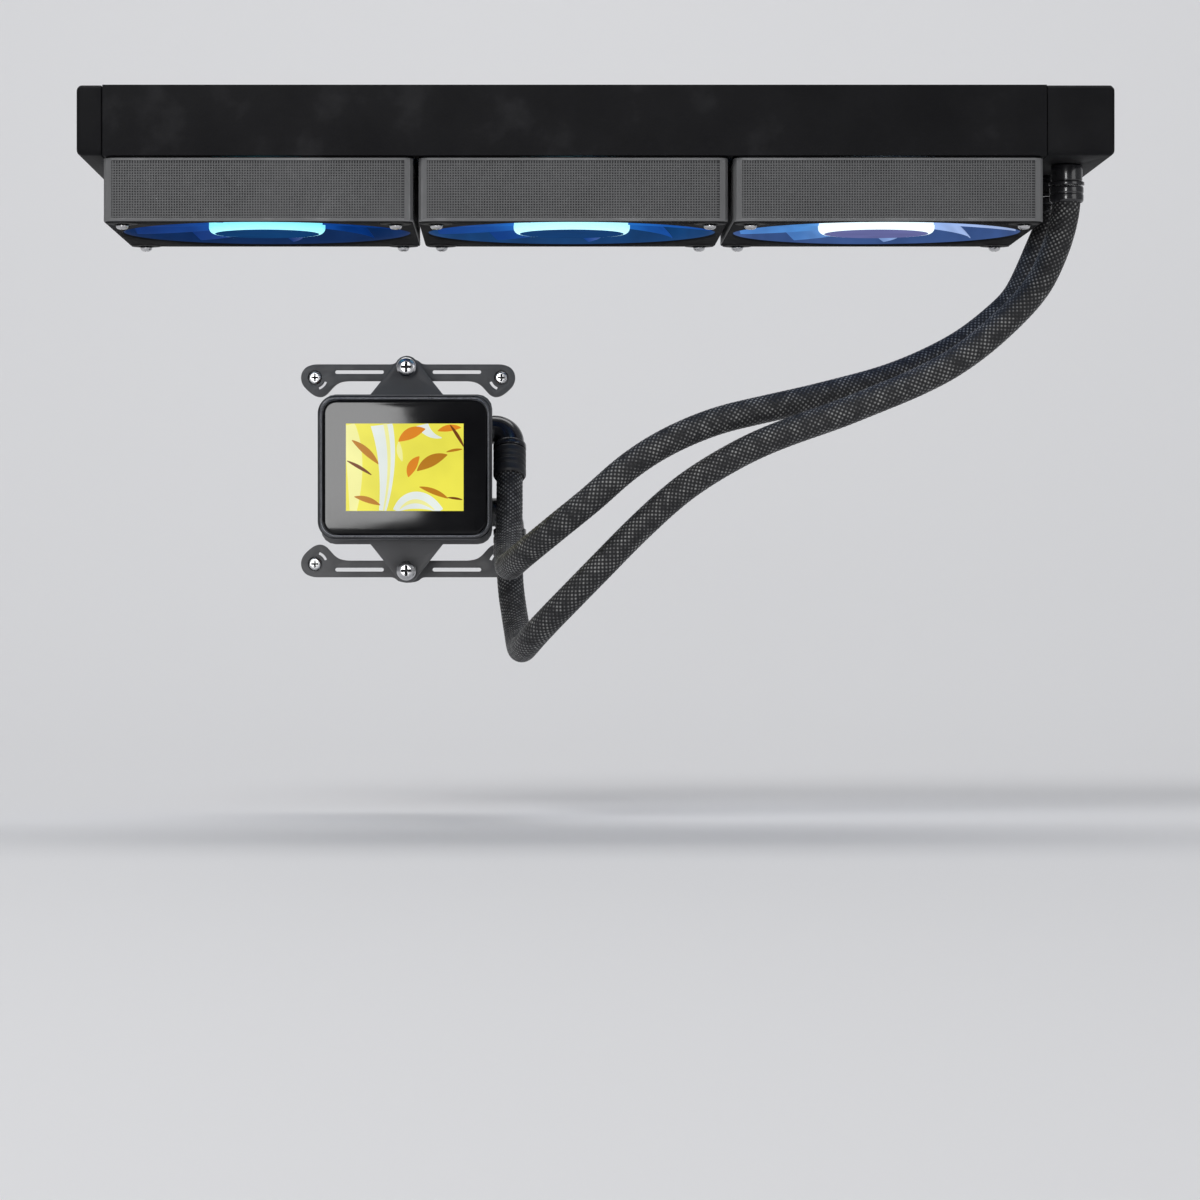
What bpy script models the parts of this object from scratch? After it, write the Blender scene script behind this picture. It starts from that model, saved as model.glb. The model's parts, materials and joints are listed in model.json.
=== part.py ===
"""All-in-one 360 mm liquid cooler: radiator, three fans, two hoses and a pump head with a display.

Frame, in metres: the origin is the centre of the radiator's upper face, which screws to the roof of a
computer case.  +X runs along the radiator towards the tank with the hose fittings, +Y runs towards the
motherboard and +Z is up.  The constants below are in millimetres and MM turns them into metres.
"""
from math import cos, pi, radians, sin

import bmesh
import bpy
from mathutils import Matrix, Vector
from mathutils.geometry import tessellate_polygon

MM = 0.001
GAP = 0.3                      # clearance between pieces that touch

# radiator
RAD_X0, RAD_X1 = -190.0, 207.0
CORE_X0, CORE_X1 = -180.0, 181.0
RAD_HALF_Y = 60.0
RAD_H = 27.0
WALL = 1.5
TUBES, TUBE_PITCH, TUBE_W, TUBE_H = 12, 9.2, 2.0, 15.0
FIN_TOP, FIN_BOTTOM = -5.2, -21.8
FLANGE = 12.0
FITTING_X = 193.0
FITTING_Y = {"front": -24.0, "rear": 24.5}

# fans
FAN_X = (-120.6, 0.0, 120.6)
FAN_W = 118.6
FAN_R = 4.0
FAN_TOP = -RAD_H - GAP
FAN_BOTTOM = FAN_TOP - 25.0
BORE_R = 56.5
HUB_R = 23.0
CAP_R = 17.4
HOLE_AT = 52.5
HOLE_R = 2.15
BLADES = 9
STRUT_T = 3.2

# pump head: centre of the display in X and Z, then depths along Y
PUMP_X, PUMP_Z = -67.5, -143.0
FACE_W, FACE_H, FACE_R = 71.0, 59.0, 7.5
FACE_Y = 47.8
LIP_Y = 51.2
STEP_Y = 79.3
BODY_END_Y = 92.0
PLATE_Y = 100.0                # cold plate face that meets the processor
BOARD_Y = 107.0                # surface of the motherboard
SCREW_DZ = 42.0                # spring screws above and below the display centre
SOCKET = 39.0                  # half of the 78 mm socket hole pattern
BRACKET_Y0, BRACKET_Y1 = 76.5, 79.0
RAIL_Y0, RAIL_Y1 = 98.0, 101.0
# right half of the upper rail's outline, from the middle of its outer edge round to its inner edge
RAIL_HALF = [
    (0.0, 47.0), (4.0, 46.4), (6.0, 44.6), (39.5, 44.6), (42.8, 43.5), (44.6, 41.2), (45.0, 38.2),
    (43.9, 35.4), (41.0, 32.6), (38.6, 31.1), (36.2, 30.8), (34.2, 31.8), (32.4, 33.8), (30.6, 35.8),
    (28.4, 37.1), (25.5, 37.6), (7.0, 37.6), (4.0, 37.0), (0.0, 36.6),
]
ELBOW_R, ELBOW_BORE_R = 6.0, 3.4
LIMB_X = -24.9
SWIVEL_Y = 86.0
SWIVEL = {"upper": (-126.3, 28.0), "lower": (-160.6, 10.0)}     # height, lean in degrees

# hoses
HOSE_R = 5.5
HOSE_STEP = 20.0
ROUTE_UPPER = [
    (193.0, 24.5, -36.2), (193.0, 24.5, -43.0), (188.3, 24.0, -54.5), (180.7, 22.0, -71.3),
    (175.0, 20.0, -79.3), (158.3, 14.0, -93.0), (141.1, 8.0, -102.5), (124.1, 2.0, -109.4),
    (107.4, -4.0, -114.2), (91.2, -9.0, -118.4), (75.2, -13.0, -122.1), (56.0, -16.5, -127.0),
    (37.1, -19.0, -135.1), (21.7, -20.5, -145.0), (8.0, -20.0, -157.0), (-5.0, -14.5, -167.5),
    (-14.5, -5.9, -175.2), (-20.8, 5.0, -180.3), (-24.2, 17.6, -183.2), (-25.3, 30.0, -183.3),
    (-25.4, 42.5, -180.8), (-25.2, 53.5, -175.2), (-25.0, 62.0, -167.5), (-24.9, 68.9, -157.3),
    (-24.9, 74.73, -147.49), (-24.9, 81.02, -135.66),
]
ROUTE_LOWER = [
    (193.0, -24.0, -36.2), (193.0, -24.0, -43.0), (191.3, -24.0, -51.5), (188.5, -24.0, -60.3),
    (180.7, -24.0, -75.9), (164.5, -24.0, -92.6), (148.6, -24.0, -104.6), (133.6, -24.0, -112.4),
    (118.2, -24.0, -118.8), (102.6, -23.2, -125.0), (87.0, -22.0, -130.4), (72.0, -20.3, -136.4),
    (57.0, -18.0, -144.4), (42.4, -15.0, -154.2), (26.7, -12.0, -168.3), (11.0, -8.7, -184.2),
    (0.0, -4.5, -195.5), (-9.0, 3.0, -204.8), (-15.2, 12.5, -211.6), (-18.6, 24.0, -215.7),
    (-20.0, 36.5, -216.9), (-20.8, 49.0, -215.4), (-21.6, 60.5, -210.9), (-22.8, 70.5, -203.5),
    (-24.2, 77.8, -194.3), (-24.9, 81.83, -184.24), (-24.9, 84.16, -171.04),
]

for leftover in list(bpy.data.objects):
    bpy.data.objects.remove(leftover, do_unlink=True)


# ---------------------------------------------------------------- helpers
def material(name, colour, metallic=0.0, roughness=0.5, glow=None, strength=0.0, transmission=0.0):
    mat = bpy.data.materials.new(name)
    mat.use_nodes = True
    shader = mat.node_tree.nodes["Principled BSDF"]
    shader.inputs["Base Color"].default_value = (*colour, 1.0)
    shader.inputs["Metallic"].default_value = metallic
    shader.inputs["Roughness"].default_value = roughness
    shader.inputs["Transmission Weight"].default_value = transmission
    if glow:
        shader.inputs["Emission Color"].default_value = (*glow, 1.0)
        shader.inputs["Emission Strength"].default_value = strength
    return mat


BLACK = dict(colour=(0.012, 0.012, 0.014), roughness=0.45)
MATTE = dict(colour=(0.02, 0.02, 0.022), roughness=0.62)
GREY = dict(colour=(0.05, 0.052, 0.055), roughness=0.6)
STEEL = dict(colour=(0.62, 0.62, 0.62), metallic=1.0, roughness=0.28)
ALUMINIUM = dict(colour=(0.7, 0.71, 0.72), metallic=1.0, roughness=0.35)
COPPER = dict(colour=(0.86, 0.42, 0.25), metallic=1.0, roughness=0.28)
BOARD = dict(colour=(0.02, 0.09, 0.05), roughness=0.5)
GLOW = dict(colour=(0.6, 0.8, 1.0), roughness=0.4, glow=(0.25, 0.65, 1.0), strength=2.0)
BLADE = dict(colour=(0.15, 0.28, 0.75), roughness=0.3, transmission=0.3, glow=(0.03, 0.12, 0.7),
             strength=0.4)
PICTURE = dict(colour=(0.9, 0.7, 0.2), roughness=0.3, glow=(0.9, 0.7, 0.15), strength=1.0)
WINDINGS = dict(colour=(0.5, 0.2, 0.06), metallic=0.7, roughness=0.4)
RUBBER = dict(colour=(0.015, 0.015, 0.015), roughness=0.85)
BRASS = dict(colour=(0.72, 0.5, 0.2), metallic=1.0, roughness=0.35)

ALONG_X = Matrix(((0, 0, 1), (1, 0, 0), (0, 1, 0)))            # local Z becomes X
ALONG_Y = Matrix(((1, 0, 0), (0, 0, -1), (0, 1, 0)))           # local Z becomes -Y, local Y becomes Z
UPRIGHT = Matrix.Identity(3)


def add_object(name, bm, look, origin=(0, 0, 0), axes=UPRIGHT):
    """Move local millimetre geometry to its place and keep the object's origin at `origin`."""
    for vert in bm.verts:
        vert.co = (axes @ vert.co) * MM
    bmesh.ops.recalc_face_normals(bm, faces=bm.faces)
    mesh = bpy.data.meshes.new(name)
    bm.to_mesh(mesh)
    bm.free()
    obj = bpy.data.objects.new(name, mesh)
    obj.location = Vector(origin) * MM
    bpy.context.scene.collection.objects.link(obj)
    if look:
        mesh.materials.append(material(name, **look))
    return obj


def circle(radius, count, z=0.0, cx=0.0, cy=0.0, start=0.0):
    return [Vector((cx + radius * cos(start + 2 * pi * i / count),
                    cy + radius * sin(start + 2 * pi * i / count), z)) for i in range(count)]


def round_rect(width, height, radius, z=0.0, cx=0.0, cy=0.0, corner=6):
    points = []
    for quarter, (sx, sy) in enumerate(((1, 1), (-1, 1), (-1, -1), (1, -1))):
        for i in range(corner + 1):
            angle = pi / 2 * (quarter + i / corner)
            points.append(Vector((cx + sx * (width / 2 - radius) + radius * cos(angle),
                                  cy + sy * (height / 2 - radius) + radius * sin(angle), z)))
    return points


def loft(bm, rings, ring_closed=False):
    """Skin equal-length rings; the ends are capped, or joined to each other when ring_closed."""
    rows = [[bm.verts.new(p) for p in ring] for ring in rings]
    count = len(rows[0])
    pairs = list(zip(rows, rows[1:]))
    if ring_closed:
        pairs.append((rows[-1], rows[0]))
    for lower, upper in pairs:
        for i in range(count):
            j = (i + 1) % count
            bm.faces.new((lower[i], lower[j], upper[j], upper[i]))
    if not ring_closed:
        bm.faces.new(rows[0])
        bm.faces.new(rows[-1])
    return rows


def fill(bm, loops):
    """Fill an outline with holes, given as loops of bmesh vertices; the first loop is the outline."""
    flat = [vert for loop in loops for vert in loop]
    flatten = [[Vector((v.co.x, v.co.y, 0.0)) for v in loop] for loop in loops]
    for a, b, c in tessellate_polygon(flatten):
        bm.faces.new((flat[a], flat[b], flat[c]))


def walls(bm, lower, upper):
    for i in range(len(lower)):
        j = (i + 1) % len(lower)
        bm.faces.new((lower[i], lower[j], upper[j], upper[i]))


def plate(bm, outline, holes, z0, z1):
    """Extrude an outline with holes between two heights."""
    levels = []
    for z in (z0, z1):
        levels.append([[bm.verts.new((p.x, p.y, z)) for p in loop] for loop in [outline, *holes]])
    for lower, upper in zip(*levels):
        walls(bm, lower, upper)
    fill(bm, levels[0])
    fill(bm, levels[1])


def lathe(profile, count=24):
    """Rings for a profile of (radius, height) pairs turned about local Z."""
    return [circle(radius, count, height) for radius, height in profile]


def turned(name, profile, look, origin=(0, 0, 0), axes=UPRIGHT, count=24, hollow=False, cut=None):
    bm = bmesh.new()
    loft(bm, lathe(profile, count), ring_closed=hollow)
    obj = add_object(name, bm, look, origin, axes)
    if cut:
        cut_with(obj, *cut)
    return obj


def cut_with(obj, tool, operation="DIFFERENCE"):
    tool.hide_render = True
    tool.display_type = "WIRE"
    modifier = obj.modifiers.new(tool.name, "BOOLEAN")
    modifier.operation = operation
    modifier.solver = "EXACT"
    modifier.object = tool


def cylinders(name, spots, radius, z0, z1, origin=(0, 0, 0), axes=UPRIGHT, count=16):
    """One cutter made of parallel cylinders at the (x, y) spots."""
    bm = bmesh.new()
    for x, y in spots:
        loft(bm, [circle(radius, count, z0, x, y), circle(radius, count, z1, x, y)])
    return add_object(name, bm, None, origin, axes)


def cross_tool(name, origin, axes, arm, width, z0, z1):
    """Phillips recess: a cross-shaped cutter."""
    a, w = arm, width / 2
    bm = bmesh.new()
    star = [(w, w), (w, a), (-w, a), (-w, w), (-a, w), (-a, -w),
            (-w, -w), (-w, -a), (w, -a), (w, -w), (a, -w), (a, w)]
    rings = [[Vector((x * s, y * s, z)) for x, y in star] for s, z in ((0.45, z0), (1.0, z1))]
    loft(bm, rings)
    return add_object(name, bm, None, origin, axes)


def smooth_route(points, per_span=16):
    """Points of a Catmull-Rom curve through the route, with natural end tangents."""
    pts = [Vector(p) for p in points]
    pts = [2 * pts[0] - pts[1], *pts, 2 * pts[-1] - pts[-2]]
    curve = []
    for p0, p1, p2, p3 in zip(pts, pts[1:], pts[2:], pts[3:]):
        for i in range(per_span):
            t = i / per_span
            curve.append(0.5 * (2 * p1 + (p2 - p0) * t + (2 * p0 - 5 * p1 + 4 * p2 - p3) * t * t
                                + (3 * p1 - p0 - 3 * p2 + p3) * t ** 3))
    curve.append(pts[-2])
    return curve


def even_points(curve, step):
    lengths = [0.0]
    for a, b in zip(curve, curve[1:]):
        lengths.append(lengths[-1] + (b - a).length)
    spans = round(lengths[-1] / step)
    points, k = [], 0
    for i in range(spans + 1):
        want = lengths[-1] * i / spans
        while k < len(lengths) - 2 and lengths[k + 1] < want:
            k += 1
        share = (want - lengths[k]) / (lengths[k + 1] - lengths[k])
        points.append(curve[k].lerp(curve[k + 1], share))
    return points


def hose(name, route, look):
    """A hose along the route; its first and last legs stay straight inside the ferrules."""
    points = [Vector(route[0]), *even_points(smooth_route(route[1:-1]), HOSE_STEP), Vector(route[-1])]
    data = bpy.data.curves.new(name, "CURVE")
    data.dimensions = "3D"
    data.bevel_depth = HOSE_R * MM
    data.bevel_resolution = 3
    data.use_fill_caps = True
    line = data.splines.new("POLY")
    line.points.add(len(points) - 1)
    for slot, p in zip(line.points, points):
        slot.co = (*(p * MM), 1.0)
    data.materials.append(material(name, **look))
    obj = bpy.data.objects.new(name, data)
    bpy.context.scene.collection.objects.link(obj)
    return obj


# ---------------------------------------------------------------- radiator
def radiator():
    mid = (FIN_TOP + FIN_BOTTOM) / 2
    rows = [(i - (TUBES - 1) / 2) * TUBE_PITCH for i in range(TUBES)]

    # flat tubes brazed into a header plate at each end, open right through (local x = Y, y = Z)
    bm = bmesh.new()
    x0, x1, t = CORE_X0, CORE_X1, 1.2
    edge = [Vector((y, z, 0)) for y, z in ((-57, -3), (57, -3), (57, -24), (-57, -24))]

    def rect(cy, w, h):
        return [Vector((cy + sx * w / 2, mid + sz * h / 2, 0)) for sx, sz in
                ((-1, 1), (1, 1), (1, -1), (-1, -1))]

    def at(loop, z):
        return [bm.verts.new((p.x, p.y, z)) for p in loop]

    outer = [rect(y, TUBE_W, TUBE_H) for y in rows]
    bore = [rect(y, TUBE_W - 0.8, TUBE_H - 0.8) for y in rows]
    left_out, left_in = at(edge, x0), at(edge, x0 + t)
    right_in, right_out = at(edge, x1 - t), at(edge, x1)
    walls(bm, left_out, left_in)
    walls(bm, right_in, right_out)
    skins_l, skins_r = [at(r, x0 + t) for r in outer], [at(r, x1 - t) for r in outer]
    bores_l, bores_r = [at(r, x0) for r in bore], [at(r, x1) for r in bore]
    for a, b in zip(skins_l + bores_l, skins_r + bores_r):
        walls(bm, a, b)
    for loops in ([left_out, *bores_l], [left_in, *skins_l], [right_in, *skins_r],
                  [right_out, *bores_r]):
        fill(bm, loops)
    add_object("radiator_tube_bundle", bm, ALUMINIUM, axes=ALONG_X)

    bm = bmesh.new()
    block = [Vector((y, z, 0)) for y, z in ((-58, FIN_TOP), (58, FIN_TOP), (58, FIN_BOTTOM),
                                            (-58, FIN_BOTTOM))]
    slots = [rect(y, TUBE_W + 2 * GAP, TUBE_H + 2 * GAP) for y in rows]
    plate(bm, block, slots, x0 + t + GAP, x1 - t - GAP)
    add_object("radiator_fin_pack", bm, dict(MATTE, metallic=0.6, roughness=0.5), axes=ALONG_X)

    # tanks: cups that open towards the core
    def tank(name, closed_x, open_x):
        way = 1 if open_x > closed_x else -1
        w, h, r = 2 * RAD_HALF_Y, RAD_H, 2.5
        rings = [round_rect(w - 2 * WALL, h - 2 * WALL, r - 1, closed_x + way * WALL, 0, -h / 2, 3),
                 round_rect(w - 2 * WALL, h - 2 * WALL, r - 1, open_x, 0, -h / 2, 3),
                 round_rect(w, h, r, open_x, 0, -h / 2, 3),
                 round_rect(w, h, r, closed_x + way * 1.2, 0, -h / 2, 3),
                 round_rect(w - 2.4, h - 2.4, r - 1, closed_x, 0, -h / 2, 3)]
        bm = bmesh.new()
        loft(bm, rings)
        return add_object(name, bm, MATTE, axes=ALONG_X)

    tank("radiator_return_tank", RAD_X0, CORE_X0 - GAP)
    fitted = tank("radiator_fitted_tank", RAD_X1, CORE_X1 + GAP)
    cut_with(fitted, cylinders("cut_tank_ports", [(FITTING_X, y) for y in FITTING_Y.values()],
                               4.0, -RAD_H - 3, -RAD_H + 4))
    cut_with(fitted, cylinders("cut_fill_port", [(0, -RAD_H / 2)], 3.4, RAD_X1 - 4, RAD_X1 + 3,
                               axes=ALONG_X))

    # folded side rails with the fan and case screw holes
    for side, sign in (("front", -1), ("rear", 1)):
        y_out, y_web, y_in = (sign * v for v in (RAD_HALF_Y, RAD_HALF_Y - 1.2, RAD_HALF_Y - FLANGE))
        h, t = RAD_H, 1.2
        section = [(y_out, 0), (y_in, 0), (y_in, -t), (y_web, -t), (y_web, t - h), (y_in, t - h),
                   (y_in, -h), (y_out, -h)]
        bm = bmesh.new()
        loft(bm, [[Vector((y, z, x)) for y, z in section] for x in (CORE_X0, CORE_X1)])
        rail = add_object("radiator_side_rail_" + side, bm, MATTE, axes=ALONG_X)
        spots = [(fx + dx, sign * HOLE_AT) for fx in FAN_X for dx in (-HOLE_AT, HOLE_AT)]
        cut_with(rail, cylinders("cut_rail_holes_" + side, spots, 1.7, -RAD_H - 2, 2, count=8))

    turned("radiator_fill_plug", [(2.0, 1.4), (2.0, 2.8), (4.6, 2.8), (5.2, 2.2), (5.2, GAP),
                                  (3.0, GAP), (3.0, -3.0)],
           BLACK, origin=(RAD_X1, 0, -RAD_H / 2), axes=ALONG_X, count=18)

    # hose fittings: a flanged collar under the tank with an open bore, and the crimp sleeve
    for side, y in FITTING_Y.items():
        collar = [(2.8, -GAP), (6.1, -GAP), (6.1, -6.4), (6.9, -6.9), (6.9, -8.2), (2.8, -8.2)]
        turned("radiator_fitting_" + side, collar, BLACK, origin=(FITTING_X, y, -RAD_H), hollow=True)
        sleeve = [(HOSE_R + GAP, -8.6), (6.4, -8.6), (6.6, -9.1), (6.6, -14.0), (6.3, -14.8),
                  (HOSE_R + GAP, -14.8)]
        turned("radiator_ferrule_" + side, sleeve, BLACK, origin=(FITTING_X, y, -RAD_H), hollow=True)


# ---------------------------------------------------------------- fans
def fan(label, cx):
    origin = (cx, 0.0, 0.0)
    n, strut_half = 48, 1
    quarter = n // 4
    hub_base_r = 20.0

    # frame: square body, round bore, four diagonal struts and a motor base at the radiator side
    bm = bmesh.new()
    levels = {"top": FAN_TOP, "strut": FAN_TOP - STRUT_T, "bottom": FAN_BOTTOM}
    sheet = round_rect(FAN_W, FAN_W, FAN_R, corner=3)
    holes = [circle(HOLE_R, 12, 0, sx * HOLE_AT, sy * HOLE_AT) for sx in (-1, 1) for sy in (-1, 1)]

    def at(loop, level):
        return [bm.verts.new((p.x, p.y, levels[level])) for p in loop]

    outer = {k: at(sheet, k) for k in ("top", "bottom")}
    screw = {k: [at(h, k) for h in holes] for k in ("top", "bottom")}
    walls(bm, outer["top"], outer["bottom"])
    for a, b in zip(screw["top"], screw["bottom"]):
        walls(bm, a, b)
    bore = circle(BORE_R, n)
    bore_strut, bore_bottom = at(bore, "strut"), at(bore, "bottom")
    walls(bm, bore_strut, bore_bottom)
    fill(bm, [outer["bottom"], bore_bottom, *screw["bottom"]])
    base = circle(hub_base_r, n)
    base_top, base_strut, bore_top = at(base, "top"), at(base, "strut"), {}
    windows_top, underside = [], []
    for q in range(4):
        first = q * quarter + quarter // 2 + strut_half
        arc = [(first + i) % n for i in range(quarter - 2 * strut_half + 1)]
        for i in arc:
            bore_top[i] = bm.verts.new((bore[i].x, bore[i].y, levels["top"]))
        inner = [i for i in arc if (i - arc[0]) % n in range(2, (arc[-1] - arc[0]) % n - 1)]
        top_loop = [bore_top[i] for i in arc] + [base_top[i] for i in reversed(inner)]
        low_loop = [bore_strut[i] for i in arc] + [base_strut[i] for i in reversed(inner)]
        walls(bm, top_loop, low_loop)
        windows_top.append(top_loop)
        underside += [base_strut[i] for i in inner] + [bore_strut[arc[-1]]]
        underside += [bore_strut[(arc[-1] + k) % n] for k in range(1, 2 * strut_half + 1)]
    for store in (base_top, base_strut):
        for vert in store:
            if not vert.link_faces:
                bm.verts.remove(vert)
    fill(bm, [outer["top"], *windows_top, *screw["top"]])
    fill(bm, [underside])
    add_object(f"fan_{label}_frame", bm, GREY, origin)

    # motor core on the struts, the ring of lights around it and the steel shaft
    low = FAN_TOP - STRUT_T - GAP
    core = []
    for i in range(48):
        angle = 2 * pi * i / 48
        core.append(Vector(((11.0 if i % 8 in (3, 4, 5) else 15.0) * cos(angle),
                            (11.0 if i % 8 in (3, 4, 5) else 15.0) * sin(angle), 0)))
    bm = bmesh.new()
    plate(bm, core, [circle(2.2, 12)], low - 11.0, low)
    add_object(f"fan_{label}_stator", bm, WINDINGS, origin)
    turned(f"fan_{label}_light_ring", [(16.2, low), (19.2, low), (19.2, low - 1.6), (16.2, low - 1.6)],
           GLOW, origin, hollow=True)
    turned(f"fan_{label}_shaft", [(1.5, low - 1.0), (1.5, low - 15.2)], STEEL, origin, count=16)

    # rotor: a cup with the blades joined to its wall; the shaft sits in a socket in the floor
    floor = FAN_BOTTOM + 0.3
    rim = FAN_TOP - STRUT_T - 0.9
    cup = [(1.8, floor + 2.2), (1.8, floor + 5.5), (3.4, floor + 5.5), (3.4, floor + 3.2),
           (20.2, floor + 3.2), (20.9, floor + 4.2), (20.9, rim), (HUB_R, rim), (HUB_R, floor + 2.0),
           (HUB_R - 0.6, floor + 0.7), (HUB_R - 2.0, floor), (CAP_R + 0.4, floor),
           (CAP_R + 0.4, floor + 1.2)]
    rotor = turned(f"fan_{label}_rotor", cup, BLADE, origin, count=32)
    bm = bmesh.new()
    spans, chords = 4, 3
    for b in range(BLADES):
        rows = []
        for s in range(spans + 1):
            share = s / spans
            radius = HUB_R - 1.0 + (BORE_R - 1.0 - HUB_R + 1.0) * share
            sweep = 2 * pi * b / BLADES + radians(16.0) * share ** 1.3
            half = radians(15.5 - 1.0 * share)
            rise = 6.9 + 1.7 * share
            upper, under = [], []
            for c in range(chords + 1):
                u = 2.0 * c / chords - 1.0
                angle = sweep + half * u
                z = (rim + floor) / 2 - 0.2 + rise * u + 1.6 * (1 - u * u)
                thick = 0.45 + 0.35 * (1 - abs(u))
                spot = Vector((radius * cos(angle), radius * sin(angle), z))
                upper.append(spot + Vector((0, 0, thick)))
                under.append(spot - Vector((0, 0, thick)))
            rows.append(upper + under[::-1])
        loft(bm, rows)
    cut_with(rotor, add_object(f"join_blades_{label}", bm, None, origin), "UNION")
    cap = [(CAP_R, floor + 0.9), (CAP_R, floor - 0.1), (CAP_R - 0.4, floor - 0.3)]
    turned(f"fan_{label}_hub_cap", cap, BLACK, origin)


# ---------------------------------------------------------------- pump head
def pump():
    centre = (PUMP_X, 0.0, PUMP_Z)

    def outline(w, h, r, y, corner=6):
        return round_rect(w, h, r, -y, corner=corner)

    # housing: display cavity in front, impeller chamber behind, with a shoulder for the bracket
    bm = bmesh.new()
    loft(bm, [outline(61, 49, 4, 77), outline(61, 49, 4, LIP_Y + GAP), outline(67.4, 55.4, 6.5, LIP_Y + GAP),
              outline(67.4, 55.4, 6.5, STEP_Y), outline(70, 58, 7.4, STEP_Y),
              outline(70, 58, 7.4, BODY_END_Y - 1), outline(68, 56, 6.4, BODY_END_Y),
              outline(50, 50, 24, BODY_END_Y), outline(50, 50, 24, 80.5)])
    add_object("pump_housing", bm, MATTE, centre, ALONG_Y)

    bm = bmesh.new()
    loft(bm, [outline(FACE_W - 2, FACE_H - 2, FACE_R - 1, FACE_Y),
              outline(FACE_W, FACE_H, FACE_R, FACE_Y + 0.9), outline(FACE_W, FACE_H, FACE_R, LIP_Y),
              outline(67.2, 55.2, 5.8, LIP_Y), outline(67.2, 55.2, 5.8, FACE_Y + 0.2)],
         ring_closed=True)
    add_object("pump_bezel", bm, dict(colour=(0.16, 0.165, 0.175), metallic=0.9, roughness=0.3),
               centre, ALONG_Y)

    bm = bmesh.new()
    loft(bm, [outline(66.0, 54.0, 5.2, FACE_Y + 0.1), outline(66.6, 54.6, 5.5, FACE_Y + 0.4),
              outline(66.6, 54.6, 5.5, FACE_Y + 1.4)])
    add_object("pump_lens", bm, dict(colour=(0.01, 0.01, 0.012), roughness=0.06), centre, ALONG_Y)

    bm = bmesh.new()
    loft(bm, [outline(56, 44, 1.0, FACE_Y + 1.7, 2), outline(56, 44, 1.0, FACE_Y + 4.2, 2)])
    add_object("pump_display_panel", bm, PICTURE, centre, ALONG_Y)

    bm = bmesh.new()
    board = outline(57, 45, 2, 0, 3)
    plate(bm, board, [circle(1.6, 10, 0, sx * 24, sy * 18) for sx in (-1, 1) for sy in (-1, 1)],
          -57.6, -56.0)
    add_object("pump_control_board", bm, BOARD, centre, ALONG_Y)

    core = [Vector(((10.0 if i % 6 in (2, 3, 4) else 18.0) * cos(2 * pi * i / 36),
                    (10.0 if i % 6 in (2, 3, 4) else 18.0) * sin(2 * pi * i / 36), 0))
            for i in range(36)]
    bm = bmesh.new()
    plate(bm, core, [circle(5.0, 16)], -76.5, -64.0)
    add_object("pump_stator", bm, WINDINGS, centre, ALONG_Y)

    # impeller: back disc, hub with a bore and seven straight vanes
    impeller = turned("pump_impeller", [(1.4, -90.4), (4.6, -90.4), (4.6, -87.4), (21.0, -87.4),
                                        (21.0, -85.4), (1.4, -85.4)], GREY, centre, ALONG_Y,
                      hollow=True)
    bm = bmesh.new()
    for b in range(7):
        turn = Matrix.Rotation(2 * pi * b / 7, 3, "Z")
        foot = [Vector((x, y, 0)) for x, y in ((4.0, -0.7), (20.6, -0.4), (20.6, 0.4), (4.0, 0.7))]
        loft(bm, [[turn @ (p + Vector((0, 0, z))) for p in foot] for z in (-90.0, -86.5)])
    cut_with(impeller, add_object("join_impeller_vanes", bm, None, centre, ALONG_Y), "UNION")
    turned("pump_impeller_shaft", [(1.1, -91.4), (1.1, -81.2)], STEEL, centre, ALONG_Y, count=16)

    bm = bmesh.new()
    ports = [circle(2.5, 12, 0, 0, 0), circle(2.5, 12, 0, 18, 0)]
    plate(bm, outline(60, 52, 5, 0, 4), ports, -(BODY_END_Y + GAP + 2.0), -(BODY_END_Y + GAP))
    add_object("pump_chamber_plate", bm, GREY, centre, ALONG_Y)

    bm = bmesh.new()
    seal_y = BODY_END_Y + 2 * GAP + 2.0
    loft(bm, [outline(54, 50, 4, seal_y, 3), outline(58, 54, 6, seal_y, 3),
              outline(58, 54, 6, seal_y + 1, 3), outline(54, 50, 4, seal_y + 1, 3)], ring_closed=True)
    add_object("pump_gasket", bm, RUBBER, centre, ALONG_Y)

    bm = bmesh.new()
    loft(bm, [outline(58, 56, 4, seal_y + 1 + GAP, 4), outline(58, 56, 4, PLATE_Y - 1.2, 4),
              outline(56.6, 54.6, 3.4, PLATE_Y, 4)])
    add_object("pump_cold_plate", bm, COPPER, centre, ALONG_Y)

    # rubber grommet where the pump's cable leaves the housing
    grommet = [(1.4, -GAP), (1.4, -2.0), (2.5, -2.0), (2.8, -1.7), (2.8, -1.1), (4.0, -0.9), (4.0, -GAP)]
    turned("pump_cable_grommet", grommet, RUBBER, (PUMP_X - 35.0, 86.0, PUMP_Z - 12.0), ALONG_X,
           hollow=True, count=18)

    # swivel elbows; their origins sit on the swivel axis, which is parallel to X
    for label, (z, lean) in SWIVEL.items():
        tilt = Matrix.Rotation(radians(lean), 3, "X").transposed()
        stub = LIMB_X - (PUMP_X + 35.0 + GAP)
        bend = 6.4
        path = [(Vector((-stub, 0, 0)), 0.0), (Vector((-bend, 0, 0)), 0.0)]
        for i in range(1, 4):
            a = pi / 2 * i / 4
            path.append((Vector((-bend + bend * sin(a), 0, -bend + bend * cos(a))), a))
        path += [(Vector((0, 0, -bend)), pi / 2), (Vector((0, 0, -9.9)), pi / 2)]

        def ring(spot, angle, radius):
            side, up = Vector((0, 1, 0)), Vector((sin(angle), 0, cos(angle)))
            return [tilt @ (spot + radius * (cos(2 * pi * k / 18) * side + sin(2 * pi * k / 18) * up))
                    for k in range(18)]

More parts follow.
